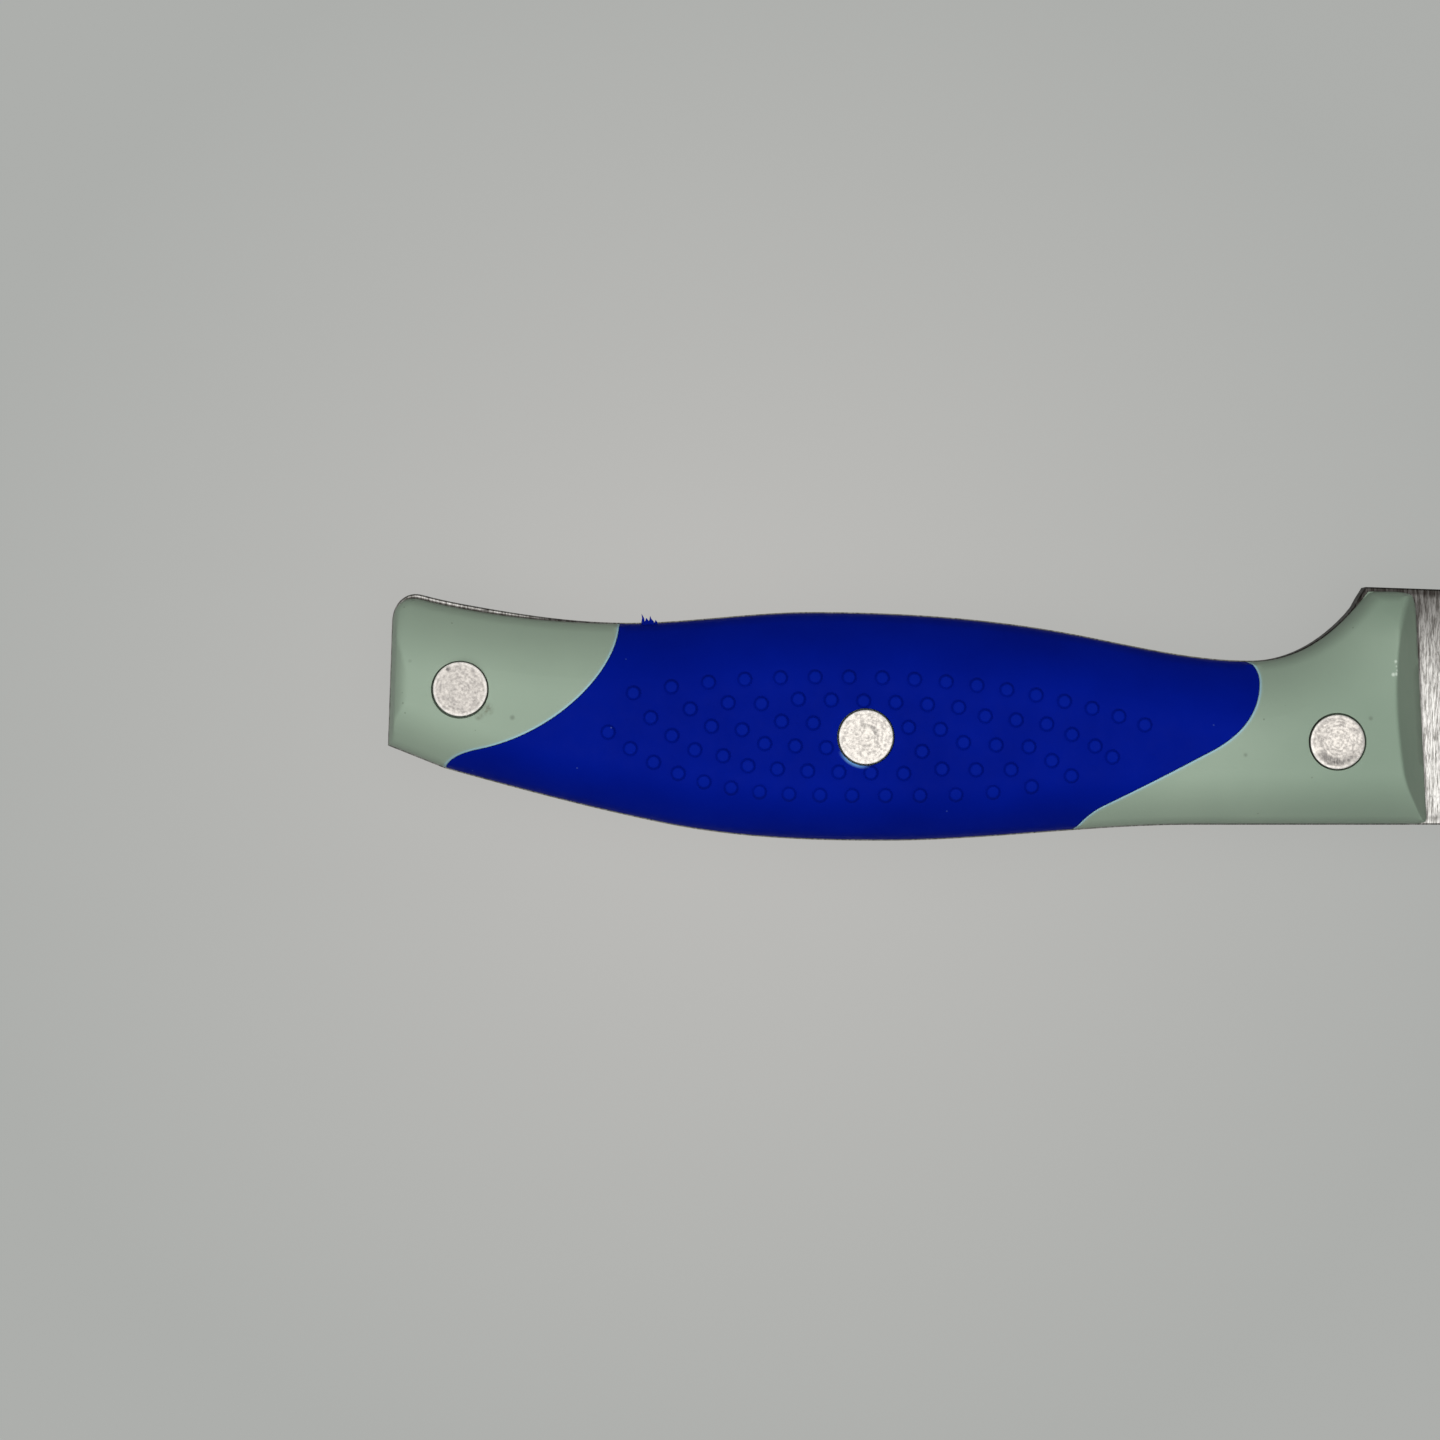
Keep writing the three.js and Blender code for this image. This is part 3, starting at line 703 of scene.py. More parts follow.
steelFinish = {
    "dark": paint(96, 94, 90), "bright": paint(186, 184, 180), "fleck": paint(60, 58, 56),
    "grimeAndShade": paint(37, 33, 30), "roughness": (0.28, 0.42), "set": {"Metallic": 1.0}, "depth": 0.01,
    "brushed": (5.4, 0.5, 0.5), "hairs": (13, 1.2, 1), "flecks": (6, 1.1, 1), "broad": (0.09, 0.09, 0.09),
    "brushedShare": 0.6, "hairShare": 0.4, "streaked": (0.41, 0.59), "flecked": (0.58, 0.7, 0, 0.75),
    "grimeAndShadeBrushed": (0.35, 0.6, 1.0, 0.85), "broadRough": (0.9, 1.12), "grimeAndShadeRough": 0.25,
}


def makeSteel():
    material = startFinish("crossBrushedSteel")
    own = steelFinish
    brushed = cloud(millimetres(own["brushed"]), 1.0, 4, 0.6)
    hairs = cloud(millimetres(own["hairs"]), 1.0, 3, 0.6)
    fine = times(hairs, own["hairShare"])
    streaks = times(times(brushed, own["brushedShare"]), fine, "ADD")
    flecks = ranged(cloud(millimetres(own["flecks"]), 1.0, 4, 0.7), *own["flecked"])
    # grime and painted shade: painted shadow in the joints with the handle, painted shade along the tang's
    # edges and a painted dark reflection by the guard
    grimeAndShade = times(trait("grimeAndShade"), ranged(brushed, *own["grimeAndShadeBrushed"]))
    colour = layered(
        tinted(ranged(streaks, *own["streaked"], 0, 1), own["dark"], own["bright"]),
        (flecks, 1.0, own["fleck"]), (grimeAndShade, 1.0, own["grimeAndShade"]),
    )
    broad = drift(millimetres(own["broad"]), 1.0, 3, *own["broadRough"])
    rough = times(ranged(streaks, 0.3, 0.7, *own["roughness"]), broad)
    rough = times(rough, times(grimeAndShade, own["grimeAndShadeRough"]), "ADD")
    dress(colour, rough, streaks, own)
    return material


rivetFinish = {
    "dull": paint(122, 118, 115), "bright": paint(179, 174, 167), "stainAndShade": paint(62, 60, 59),
    "rim": paint(189, 185, 180), "roughness": (0.36, 0.5), "set": {"Metallic": 0.9}, "depth": 0.01,
    "mottle": (2.6, 4, 0.6), "wander": (0.9, 3), "wanderShare": 0.7, "ringPitch": 14.0,
    "turned": (0.7, 2), "turning": (0.42, 0.66, 0, 0.08),
    "grit": (5, 1.6, 1), "gritty": (0.36, 0.62, 1.0, 0.5),
}


def makeRivetMetal():
    material = startFinish("turnedAluminium")
    place, own = millimetres(), rivetFinish
    axes = addNode("ShaderNodeSeparateXYZ", {0: place})
    across, up = axes.outputs[0], axes.outputs[1]
    apart = addNode("ShaderNodeCombineXYZ", {2: trait("seed")})  # no two heads alike
    where = addNode("ShaderNodeVectorMath", {0: place, 1: apart.outputs[0]}, operation="ADD").outputs[0]
    mottle = times(cloud(where, *own["mottle"]), 0.5, "SUBTRACT")
    radius = times(times(times(across, across), times(up, up), "ADD"), 0.5, "POWER")
    wander = times(cloud(where, *own["wander"]), own["wanderShare"])
    rings = times(times(times(radius, wander, "ADD"), own["ringPitch"]), 0.0, "SINE")
    turning = ranged(cloud(where, *own["turned"]), *own["turning"])
    uneven = times(times(mottle, times(rings, turning), "ADD"), trait("mottle"))
    share = times(trait("tone"), uneven, "ADD")
    grit = ranged(cloud(millimetres(own["grit"]), 1.0, 3, 0.6), *own["gritty"])
    colour = layered(
        tinted(ranged(share, 0, 1, 0, 1), own["bright"], own["dull"]),
        # stains on the heads, and painted shade along the wall of the grip head's dimple
        (trait("stainAndShade"), grit, own["stainAndShade"]), (trait("rim"), 0.9, own["rim"]),
    )
    dress(colour, ranged(uneven, -0.2, 0.2, *own["roughness"]), uneven, own)
    return material


hardPlastic, softPlastic = makeHardPlastic(), makeSoftPlastic()
steelMetal, rivetMetal = makeSteel(), makeRivetMetal()
print("finishes made")

# handle halves: the hard core shows at pommel and guard, the soft grip lies over its rib
tangHalf = steel["tangThickness"] / 2
boreRadius = rivets["tubeRadius"] + rivets["clearance"]
counterRadius = rivets["headRadius"] + rivets["headGap"]
gripCentre = rivets["places"]["grip"]
pips = {
    "columns": 17, "pitch": 3.42, "height": 0.3, "clear": 0.9, "topRadius": 0.6, "spread": 1.0,
    "moat": 0.03, "moatWidth": 0.1, "rings": (0.5, 0.6, 0.68, 0.76, 0.84, 0.92, 1.0, 1.1, 1.25),
    # the tops are worn lighter; the flank values place a painted shade ring round each pip
    "worn": (0.56, 0.74), "flankAt": 0.98, "flankWidth": 0.24,  # where their colours lie
    # ends of the columns: run, crowding, middle, where the rise is full, height, rise and its power
    "foot": ((-102.3, -40.3), -0.32, -69.1, -102.3, 3.7, 7.8, 3.5),
    "head": ((-99.2, -36.3), 0.2, -75.1, -36.3, 18.3, -5.9, 2.3),
}


def loops(lines):
    return [(line, True) for line in lines]


def runs(lines):
    return [(line, False) for line in lines]


def holeLines(centre):
    offsets = *roundOffsets(rivets["mouthRound"], 4), rivets["mouthRing"]
    return loops(circle(centre, counterRadius + offset, 72) for offset in offsets)


mouldLines = runs(shoulderLines()) + loops([handleEdge])


def buildScale():
    centres = list(rivets["places"].values())
    mouths = [np.add(rivets["places"][place], shift) for place, shift in rivets["mouthShift"].items()]
    lines = mouldLines + loops([ribEdge, *rimLines(socketEdge, seam["round"], -1, seam["scaleRings"])])
    lines += runs(creaseLines()) + loops(circle(centre, boreRadius, 64) for centre in centres)
    for mouth in mouths:
        lines += holeLines(mouth)
    flat, tris = flatNet(lines)
    middle = flat[tris].mean(1)
    socketed, ribbed = inside(middle, socketEdge), inside(middle, ribEdge)
    level = np.where(socketed, np.where(ribbed, 1, -1), 0)
    level[~inside(middle, handleEdge)] = -1
    level[(gapTo(middle, mouths) < counterRadius) & (level == 0)] = 1
    level[gapTo(middle, centres) < boreRadius] = -1
    mouthGap = np.abs(gapTo(flat, mouths) - counterRadius)
    skin = slabHeight(flat) - roundDrop(nearestOn(flat, socketEdge), seam["round"])
    skin = skin - roundDrop(mouthGap, rivets["mouthRound"])
    heights = [tangHalf + skin, np.full(len(flat), tangHalf + rib["top"])]
    points, faces = raisedSolid(flat, tris, level, heights, [], lambda p: np.full(len(p), tangHalf))
    # the band by the seam carries a painted highlight
    return points, faces, {"seamHighlightBand": fade(nearestOn(points[:, :2], socketEdge), *seam["lit"])}


def columnEnd(t, run, crowding, middle, full, height, rise, power):
    x = blendTo(*run, t + crowding * t * (1 - t))
    return np.array([x, height + rise * abs((x - middle) / (full - middle)) ** power])


def pipCentres():
    centres = []
    for t in np.linspace(0, 1, pips["columns"]):
        foot, head = columnEnd(t, *pips["foot"]), columnEnd(t, *pips["head"])
        gaps = max(1, math.floor(math.dist(foot, head) / pips["pitch"]))
        for i in range(gaps + 1):
            centre = blendTo(foot, head, i / gaps)
            if math.dist(centre, gripCentre) > rivets["headRadius"] + pips["clear"]:
                centres.append(centre)
    return np.array(centres)


def buildGrip():
    centres = pipCentres()
    lines = mouldLines + loops([ribRoom]) + holeLines(gripCentre)
    lines += loops(rimLines(gripEdge, seam["round"], 1, seam["gripRings"]))
    for centre in centres:
        lines += loops(circle(centre, radius, 20) for radius in pips["rings"])
    flat, tris = flatNet(lines, centres)
    middle = flat[tris].mean(1)
    level = np.where(inside(middle, gripEdge) & inside(middle, handleEdge), 0, -1)
    level[gapTo(middle, [gripCentre]) < counterRadius] = -1
    mouthGap, pipGap = np.abs(gapTo(flat, [gripCentre]) - counterRadius), gapTo(flat, centres)
    rise = fade(pipGap, pips["topRadius"], pips["spread"])
    moat = pips["moat"] * bell(pipGap, pips["spread"], pips["moatWidth"])  # a fine groove round each pip
    skin = slabHeight(flat) - roundDrop(nearestOn(flat, gripEdge), seam["round"])
    skin = skin - roundDrop(mouthGap, rivets["mouthRound"]) + pips["height"] * rise - moat

    def underside(p):
        return np.where(inside(p, ribRoom), tangHalf + rib["top"] + seam["gap"], tangHalf)

    points, faces = raisedSolid(flat, tris, level, [tangHalf + skin], [ribRoom], underside)
    spots = points[:, :2]
    pipGap = gapTo(spots, centres)
    return points, faces, {
        "pipTop": fade(pipGap, *pips["worn"]),
        "pipFlankShade": bell(pipGap, pips["flankAt"], pips["flankWidth"]),
        "holeRimHighlight": fade(np.abs(gapTo(spots, [gripCentre]) - counterRadius), *rivets["mouthLipHighlight"]),
    }


scalePoints, scaleFaces, scaleTraits = buildScale()
gripPoints, gripFaces, gripTraits = buildGrip()
for side, over in (("left", False), ("right", True)):
    addPiece(side + "ScaleMoulding", scalePoints, scaleFaces, hardPlastic, side + "_scale",
             turnOver=over, traits=scaleTraits)
    addPiece(side + "GripMoulding", gripPoints, gripFaces, softPlastic, side + "_grip",
             turnOver=over, traits=gripTraits)
print("handle halves built:", len(scaleFaces), "and", len(gripFaces), "faces")


# blade and tang, one piece of steel


def bladeLines(x):  # cutting edge and back
    rises, length = steel["backLine"][0][0], steel["length"]
    edge = lineHeight(steel["edgeLine"], np.clip(x, tipX, length))
    risen = lineHeight(steel["backLine"], np.clip(x, rises, length))
    return edge, np.where(x > rises, risen, -steel["tangProud"])


def bevelHeight(height):
    return np.minimum(steel["bevel"], steel["bevelMost"] * height)


def steelPlan():  # the tang stands proud of the handle, most at beak and guard
    runOut, endBand, heelEnd, midway = 8.0, 1.0, -3.0, guardHeight / 2
    loop = closedLoop(
        spineSpan, straight(spineSpan[-1], (runOut, 0), step),
        straight((runOut, guardHeight), fingerSpan[-1], step), fingerSpan[::-1], endSpan,
    )
    x, y = loop.T
    onBeak = ease(x, endX + 0.4, beakX - 0.4)
    beakwards = onBeak * fade(x, endX + steel["beakStrip"], fingerLine[1][0])
    guardwards = ease(x, tipX - steel["guardStrip"], tipX)
    share = np.maximum(beakwards, guardwards) * (y > midway)
    loop = loop - cornerNormals(loop) * blendTo(steel["tangProud"], steel["tangEndProud"], share)[:, None]
    x, y = loop.T
    lower = loop[(y < midway) & (x > endX + endBand) & (x < heelEnd)]
    upper = loop[(y > midway) & (x < tipX - 0.1)]
    rear = loop[(x <= endX + endBand) & (y <= midway)]
    rear = rear[np.argsort(-rear[:, 1])]
    pointX = steelHigh.x * 1000 - drawnZero[0] * 1000
    (heelX, few), (bodyX, many), (lateX, last) = steel["stations"]
    swept = 1 - (1 - np.linspace(0, 1, last)[1:]) ** steel["sweep"]
    x = np.concatenate([np.linspace(heelX, bodyX, few), np.linspace(bodyX, lateX, many)[1:],
                        lateX + (pointX - lateX) * swept])
    edge, back = (pairs(x, y) for y in bladeLines(x))
    front = np.linspace(tipX - 0.3, heelEnd, 9)
    heel = pairs(front, bladeLines(front)[0])
    return closedLoop(rear, lower, back, edge[::-1], heel[::-1], upper), x


def steelHalf(points, plan):
    x, y = points[:, 0], points[:, 1]
    leastHeight = 0.02
    edge, back = bladeLines(x)
    height, down = np.maximum(edge - back, leastHeight), edge - y
    ground = ease(x, steel["ricasso"], steel["ricasso"] + steel["plunge"])
    thin = np.clip((x - steel["length"] + steel["thinning"]) / steel["thinning"], 0, 1)
    body = blendTo(steel["tangThickness"], steel["thickness"], ground)
    half = blendTo(body, steel["pointThickness"], thin) / 2
    bevel = bevelHeight(height)
    behind = np.minimum(steel["grindEdge"] / 2, steel["grindEdgeMost"] * half)
    onBevel = blendTo(steel["keenEdge"], behind, np.clip(down / bevel, 0, 1))
    upGrind = np.clip((down - bevel) / (steel["grindShare"] * height - bevel), 0, 1)
    z = blendTo(half, np.where(down < bevel, onBevel, blendTo(behind, half, upGrind)), ground)
    keen = ground * (down < 0.5 * height)
    broken = np.minimum(steel["edgeBreak"], steel["breakMost"] * half) * (1 - keen)
    return z - np.clip(broken - nearestOn(points, plan), 0, None)


# dirt and painted shade on the steel: a strength, then the runs over which a mark comes in, along x and y or
# by the gap to the steel's rim, to the joint with the handle or to a dark spot on the beak strip
sharp = 0.001  # the run of a hard limit
beakRuns = [("x", -129.6, -127.6), ("x", -97, -110), ("y", 14, 14 + sharp)]
dirtAndShade = {
    "spot": (-117.9, 26.7),
    "marks": [
        # darker along the steel's rim by the guard
        (1.0, ("rim", 1.6, 0.6), ("x", -27, -16), ("x", 14, 6), ("y", 14, 14 + sharp)),
        # darker towards the top of the blade by the guard: a painted dark reflection, partly brown grime
        (0.83, ("y", 15, 30), ("x", -8, -4), ("x", 26, 4)),
        # painted shade along the steel's rim on the spine side, under the handle
        (0.6, ("rim", 1.6, 0.6), ("x", -38, -24), ("x", -1.4, -2.4), ("y", 4, 4 - sharp)),
        # a dark spot on the beak strip
        (0.9, ("spot", 0.8, 0.3)),
        # on the beak strip: painted shadow in the joint with the moulding, partly grime, painted shade along
        # the strip's rim, and the whole strip a little darker
        (1.0, ("joint", 0.3, 0.12), *beakRuns), (0.6, ("rim", 0.22, 0.04), *beakRuns), (0.16, *beakRuns),
        # darker near the joint under the guard tip
        (0.85, ("joint", 1.5, 0.5), ("y", 22, 27), ("x", -4, -4 + sharp)),
    ],
    "nose": (0.4, 0.97), "noseUp": (13, 24),  # painted contact shadow along the nose joint, partly grime, weaker lower down
    "noseRuns": [("joint", 0.5, 0.3), ("x", -5, -5 + sharp), ("y", 0.4, 0.4 + sharp)],
    # the band is painted shade along the spine side, under the handle
    "shadeBand": 0.4, "shadeBandAt": (0.9, 0.4), "shadeBandRuns": [("y", 4, 4 - sharp), ("x", -1, -1 + sharp)],
}


def dirtAndShadeOn(points, plan):
    x, y = points.T
    rim, joint, spot = nearestOn(points, plan), nearestOn(points, handleEdge), gapTo(points, [dirtAndShade["spot"]])
    gauges = {"x": x, "y": y, "rim": rim, "joint": joint, "spot": spot}
    upNose = blendTo(*dirtAndShade["nose"], ease(y, *dirtAndShade["noseUp"]))
    shadeBand = dirtAndShade["shadeBand"] * bell(rim, *dirtAndShade["shadeBandAt"])
    found = []
    for strength, *spans in dirtAndShade["marks"] + [(upNose, *dirtAndShade["noseRuns"]), (shadeBand, *dirtAndShade["shadeBandRuns"])]:
        found.append(strength * np.prod([ease(gauges[key], low, high) for key, low, high in spans], 0))
    return np.max(found, 0)


def buildSteel():
    backBand, brokenTo = 4, 150  # the break along the back stops short of the point
    plan, x = steelPlan()
    x = x[:-3]
    edge, back = bladeLines(x)
    bevelTop = edge - bevelHeight(edge - back)
    grind = edge - steel["grindShare"] * (edge - back)
    lines = loops([plan])
    for high, low, shares in ((edge, bevelTop, (0.5, 0.97, 1.03)), (bevelTop, grind, (0.35, 0.7, 0.98)),
                              (grind, back, (0.02, 0.35, 0.68))):
        lines += runs(pairs(x, blendTo(high, low, share)) for share in shares)
    inner = plan + cornerNormals(plan) * steel["edgeBreak"]
    keep = (plan[:, 0] < steel["ricasso"]) | ((plan[:, 1] < backBand) & (plan[:, 0] < brokenTo))
    for run in np.split(np.arange(len(plan)), np.flatnonzero(np.diff(keep.astype(int))) + 1):
        if keep[run[0]] and len(run) > 1:
            lines.append((inner[run], False))
    outwards = -cornerNormals(handleEdge)
    jointX, jointY = handleEdge.T
    ahead = (jointY > 0.6) & (jointX > -4.2)
    onBeak = (jointY > beakY - beakDown) & (jointX < fingerLine[1][0])
    for kept, offsets in ((ahead, (0.0, 0.15, 0.3, 0.5, 0.8, 1.4)), (onBeak, (-0.3, 0.0, 0.15, 0.3))):
        lines += runs(handleEdge[kept] + outwards[kept] * offset for offset in offsets)
    alongBack = np.linspace(-0.5, 22, 40)
    for offset in (0.5, 0.9, 1.3, 1.9):
        lines.append((pairs(alongBack, bladeLines(alongBack)[1] + offset), False))
    flat, tris = flatNet(lines)
    tris = tris[inside(flat[tris].mean(1), plan)]
    points, faces = twoSidedSolid(flat, tris, steelHalf(flat, plan))
    return points, faces, {"grimeAndShade": dirtAndShadeOn(points[:, :2], plan)}


steelPoints, steelFaces, steelTraits = buildSteel()
addPiece("bladeSteel", steelPoints, steelFaces, steelMetal, "blade",
         sharpAngle=24, traits=steelTraits)
print("blade built:", len(steelFaces), "faces")

# two-piece rivets: turned, with the marks of the press in their heads, stains, and painted shade in the grip
# head's dimple
headTop = tangHalf + handle["thickness"] + pips["height"]
headSeat = headTop - rivets["headThickness"]
flatEdge = rivets["headRadius"] - rivets["headRim"]


def stainAndShadeArc(radius, start, end, count, core, reach, most, fading, peak):
    return [(radius * math.cos(a), radius * math.sin(a), core, reach, most - fading * abs(a - peak))
            for a in np.linspace(start, end, count)]


# tones are radius and tone from the middle outwards, stains and painted shade are x, y, core, reach and
# strength, and a dish is its middle, radius, depth and deep side
headMarks = {
    "pommel": {
        "seed": 3.1, "mottle": 1.35, "tones": [(0, 0.58), (2.4, 0.62), (3.1, 0.54)],
        "dish": ((0.0, 0.0), 2.2, 0.01, 200),
        "stainsAndShade": [(-1.47, 2.5, 0.18, 0.36, 1.0), (2.85, -0.1, 0.05, 0.2, 0.6), (1.7, 2.3, 0.1, 0.5, 0.25)],
    },
    "grip": {
        "seed": 7.7, "mottle": 2.1, "tones": [(0, 0.14), (2.2, 0.3), (3.1, 0.2)],
        "dish": ((0.1, 0.1), 1.5, 0.09, 50),
        # this arc is painted shade along the deep wall of the press dimple
        "stainsAndShade": stainAndShadeArc(1.4, 0.1, 2.3, 14, 0.08, 0.42, 0.68, 0.34, 0.9),
    },
    "guard": {
        "seed": 12.3, "mottle": 1.9, "tones": [(0, 0.16), (1.0, 0.2), (1.5, 0.36), (2.3, 0.38), (3.1, 0.44)],
        "dish": ((0.0, 0.0), 1.6, 0.02, 90),
        "stainsAndShade": stainAndShadeArc(2.45, 3.8, 5.6, 12, 0.2, 0.7, 1, 0.5, 4.55),
    },
}


def headProfile():  # a flat face, a shallow bright rim and a small round at its edge
    r, e = rivets["headRadius"], rivets["headEdge"]
    low = headTop - rivets["rimFall"] - e
    turn = [(r - e + e * math.cos(a), low + e * math.sin(a)) for a in np.linspace(0, 1.35, 5)]
    face = [(share * flatEdge, headTop) for share in np.linspace(1, rivets["hub"], rivets["faceRings"])]
    return [(r, headSeat), (r, headTop - rivets["headSide"])] + turn + face


def turnRivet(profile, mark):
    dishAt, dishRadius, depth, deepSide = mark["dish"]
    deep = math.cos(math.radians(deepSide)), math.sin(math.radians(deepSide))
    around = rivets["around"]
    points = np.array([(x, y, z) for radius, z in profile for x, y in circle((0, 0), radius, around)])
    spots, pressed = points[:, :2], points[:, 2] > headTop - 1e-6  # only the face carries the press marks
    dish = fade(gapTo(spots, [dishAt]), dishRadius - 0.3, dishRadius + 0.15)
    towards = np.clip(0.5 + 0.5 * (spots - dishAt) @ deep / dishRadius, 0, 1)
    waves = [noise.noise(Vector((*(spot * rivets["waveScale"]), mark["seed"]))) - 1 for spot in spots]
    points[:, 2] += pressed * (rivets["wave"] * np.array(waves) - depth * dish * towards)
    out, face = np.hypot(*spots.T), points[:, 2] > headTop - 0.15
    stainAndShade = np.zeros(len(points))
    for x, y, core, reach, strength in mark["stainsAndShade"]:
        stainAndShade = np.maximum(stainAndShade, strength * fade(gapTo(spots, [(x, y)]), core, reach) * face)
    return points, skinFaces(len(profile), around), {
        "stainAndShade": stainAndShade, "tone": np.interp(out, *zip(*mark["tones"])),
        "seed": np.full(len(points), mark["seed"]), "mottle": np.full(len(points), mark["mottle"]),
        "rim": ease(out, flatEdge - 0.06, flatEdge + 0.08) * face,
    }


def skinFaces(count, size):  # a row of rings, closed at both ends
    faces = []
    for i in range(count - 1):
        for j in range(size):
            a, b = i * size + j, i * size + (j + 1) % size
            faces.append([a, b, b + size, a + size])
    return faces + [list(range(size))[::-1], list(range((count - 1) * size, count * size))]


def shankProfile():
    r, end = rivets["shankRadius"], headSeat - rivets["shankLength"]
    return [(rivets["hub"], end), (r - 0.3, end), (r - 0.1, end + 0.2), (r, end + 0.6), (r, headSeat)]


def tubeProfile():
    hole, r, lip = rivets["shankRadius"] + rivets["clearance"], rivets["tubeRadius"], 0.15
    floor, mouth = headSeat - rivets["tubeFloor"], -headSeat + rivets["tubeShort"]
    return [(rivets["hub"], floor), (hole, floor), (hole, mouth + 0.2), (hole + lip, mouth), (r - lip, mouth),
            (r, mouth + lip), (r, headSeat)]


for place, (rivetX, rivetY) in rivets["places"].items():
    for half, shank, over in (("Male", shankProfile(), False), ("Female", tubeProfile(), True)):
        points, faces, marks = turnRivet(shank + headProfile(), headMarks[place])
        addPiece(place + "Rivet" + half, points, faces, rivetMetal,
                 place + "_rivet_" + half.lower(), sharpAngle=50, turnOver=over, traits=marks,
                 at=(rivetX, rivetY, 0))
print("rivets turned")

# a torn wisp of moulding flash on the finger edge behind the waist
flash = {
    "level": 0.9, "lift": 0.4, "bend": 1.4, "sway": 0.06, "twist": 7, "half": 0.12, "topShare": 0.6,
    "thinnest": 0.3, "rows": [(0.0, 1.0), (0.35, 0.66), (0.7, 0.36), (1.0, 0.06)],  # length and width
    "spikes": [  # foot, tip, width
        ((-98.05, 24.6), (-98.35, 26.25), 0.36), ((-97.4, 24.6), (-97.25, 26.0), 0.36),
        ((-97.75, 24.6), (-97.75, 25.75), 0.62), ((-97.1, 24.6), (-97.15, 25.7), 0.62),
        ((-96.65, 24.6), (-96.55, 25.5), 0.5),
    ],
}


def buildFlash():
    points, faces, thick, topShare = [], [], flash["half"], flash["topShare"]
    for (footX, footY), (endAt, top), width in flash["spikes"]:
        first = len(points)
        for share, shrink in flash["rows"]:
            sway = flash["sway"] * math.sin(flash["twist"] * share + footX)
            cx = blendTo(footX, endAt, share ** flash["bend"]) + sway
            cy, w = blendTo(footY, top, share), width * shrink
            cz = tangHalf + flash["level"] + flash["lift"] * share ** 2
            for dx, dz in ((-w, -thick), (w, -thick), (w * topShare, thick), (-w * topShare, thick)):
                points.append((cx + dx, cy, cz + dz * max(shrink, flash["thinnest"])))
        for row in range(3):
            for j in range(4):
                a, b = first + row * 4 + j, first + row * 4 + (j + 1) % 4
                faces.append([a, a + 4, b + 4, b])
        faces.append([first, first + 1, first + 2, first + 3])
        faces.append([first + 15, first + 14, first + 13, first + 12])
    return np.array(points), faces


flashPoints, flashFaces = buildFlash()
addPiece("gripFlash", flashPoints, flashFaces, softPlastic, None, sharpAngle=60)

# floor, light and camera
stageSet = {
    "floor": paint(132, 132, 130), "floorDeep": paint(127, 127, 125), "floorSize": 6.0,
    "veins": (0.008, 0.03, 0.02), "veined": (0.35, 0.65), "grain": (0.4, 3), "depth": 0.01,
    "sheen": (0.05, 3), "roughness": (0.62, 0.74), "set": {"Specular IOR Level": 0.1},
    # the floor as seen directly carries a painted pool of light: brightest round the knife, falling to the
    # far tone
    "shown": paint(199, 198, 195), "beyondPoolOfLight": paint(181, 183, 180), "poolOfLightMiddle": (-105, 0, 0),
    "poolOfLightReach": (10, 105), "even": 0.82, "sky": paint(236, 236, 235), "world": 0.04, "worldShown": 0.42,
    "lamp": 24.6, "lampSize": 2.0, "lampAt": (-0.25, -0.13, 1.3),
}


def seenDirectly():
    met = addNode("ShaderNodeLightPath")
    return times(met.outputs["Is Camera Ray"], met.outputs["Is Glossy Ray"], "MAXIMUM")


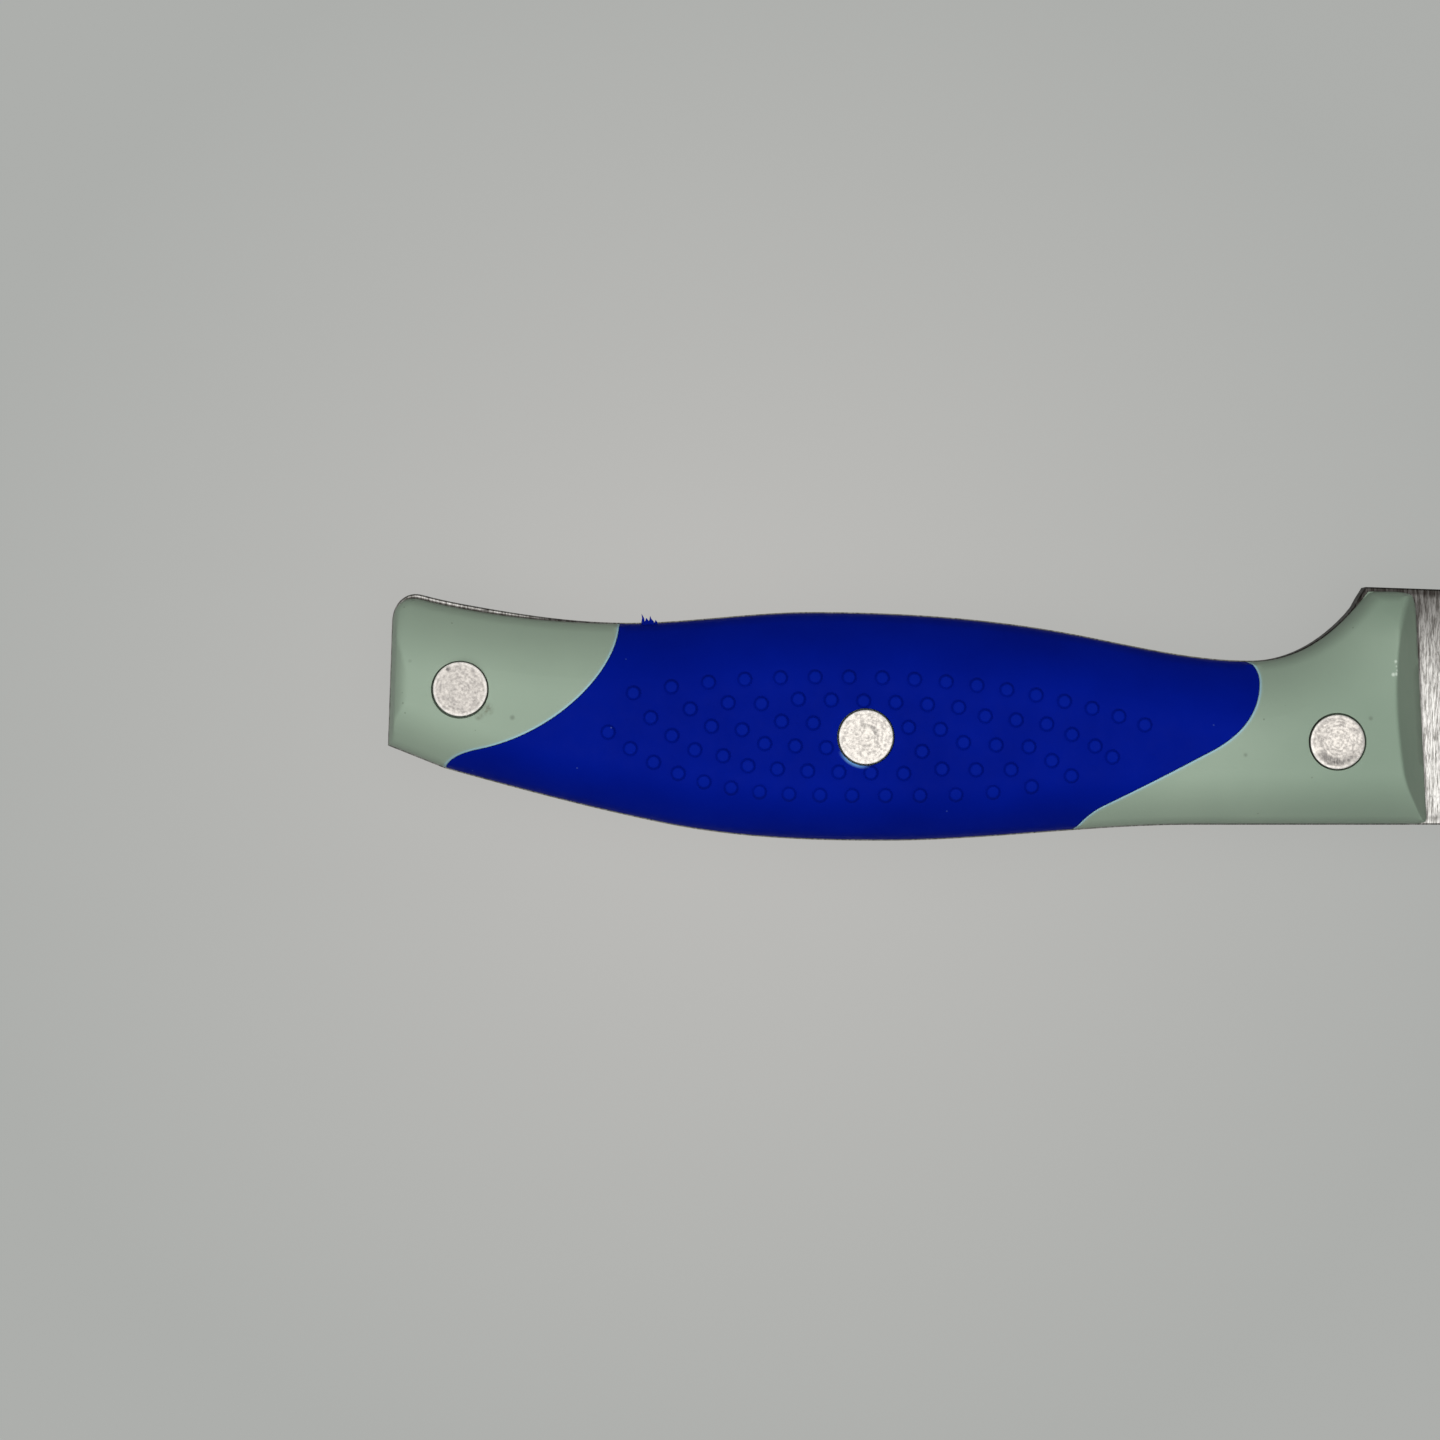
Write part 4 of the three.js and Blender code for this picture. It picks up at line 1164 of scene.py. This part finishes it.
def makeFloor():
    material = startFinish("paleFloor")
    tree = material.node_tree
    where, own = millimetres(), stageSet
    veins = ranged(cloud(millimetres(own["veins"]), 1.0, 4), *own["veined"], 0, 1)
    rough = drift(where, *own["sheen"], *own["roughness"])
    colour = tinted(veins, own["floorDeep"], own["floor"])
    dress(colour, rough, cloud(where, *own["grain"]), own)
    # a painted pool of light on the directly seen floor, brighter round the knife
    spread = addNode("ShaderNodeVectorMath", {0: where, 1: own["poolOfLightMiddle"]}, operation="DISTANCE")
    outwards = ranged(spread.outputs["Value"], *own["poolOfLightReach"], 0, 1)
    shown = tinted(outwards, own["shown"], own["beyondPoolOfLight"])
    mixed = addNode("ShaderNodeMixShader", {
        0: times(seenDirectly(), own["even"]), 1: tree.nodes["Principled BSDF"].outputs[0],
        2: addNode("ShaderNodeEmission", {"Color": shown}).outputs[0]})
    tree.links.new(mixed.outputs[0], tree.nodes["Material Output"].inputs["Surface"])
    half = own["floorSize"] / 2
    mesh = bpy.data.meshes.new("floor")
    corners = [(-half, -half, 0), (half, -half, 0), (half, half, 0), (-half, half, 0)]
    mesh.from_pydata(corners, [], [(0, 1, 2, 3)])
    mesh.materials.append(material)
    floor = addObject("floor", mesh, (0, 0, 0))


makeFloor()
lamp = bpy.data.lights.new("overheadLamp", "AREA")  # a round soft light that looks straight down
lamp.shape, lamp.energy, lamp.size = "DISK", stageSet["lamp"], stageSet["lampSize"]
addObject("overheadLamp", lamp, stageSet["lampAt"])
world = bpy.data.worlds.new("studio")
world.use_nodes = True
bpy.context.scene.world = world
sky = world.node_tree.nodes["Background"]
sky.inputs["Color"].default_value = stageSet["sky"]
work["tree"] = world.node_tree
skyShare = ranged(seenDirectly(), 0, 1, stageSet["world"], stageSet["worldShown"])
world.node_tree.links.new(skyShare, sky.inputs["Strength"])

view = {"above": (-88.55, 13.0, 400.0), "lens": 79.37, "sensor": 36.0, "clipStart": 0.01}
camera = addObject("camera", bpy.data.cameras.new("camera"), toFrame(view["above"]))
camera.data.lens, camera.data.sensor_width = view["lens"], view["sensor"]  # straight down, image up is +Y
camera.data.clip_start = view["clipStart"]
bpy.context.scene.camera = camera
bpy.context.scene.view_settings.view_transform = "Standard"
print("floor, light and camera set")
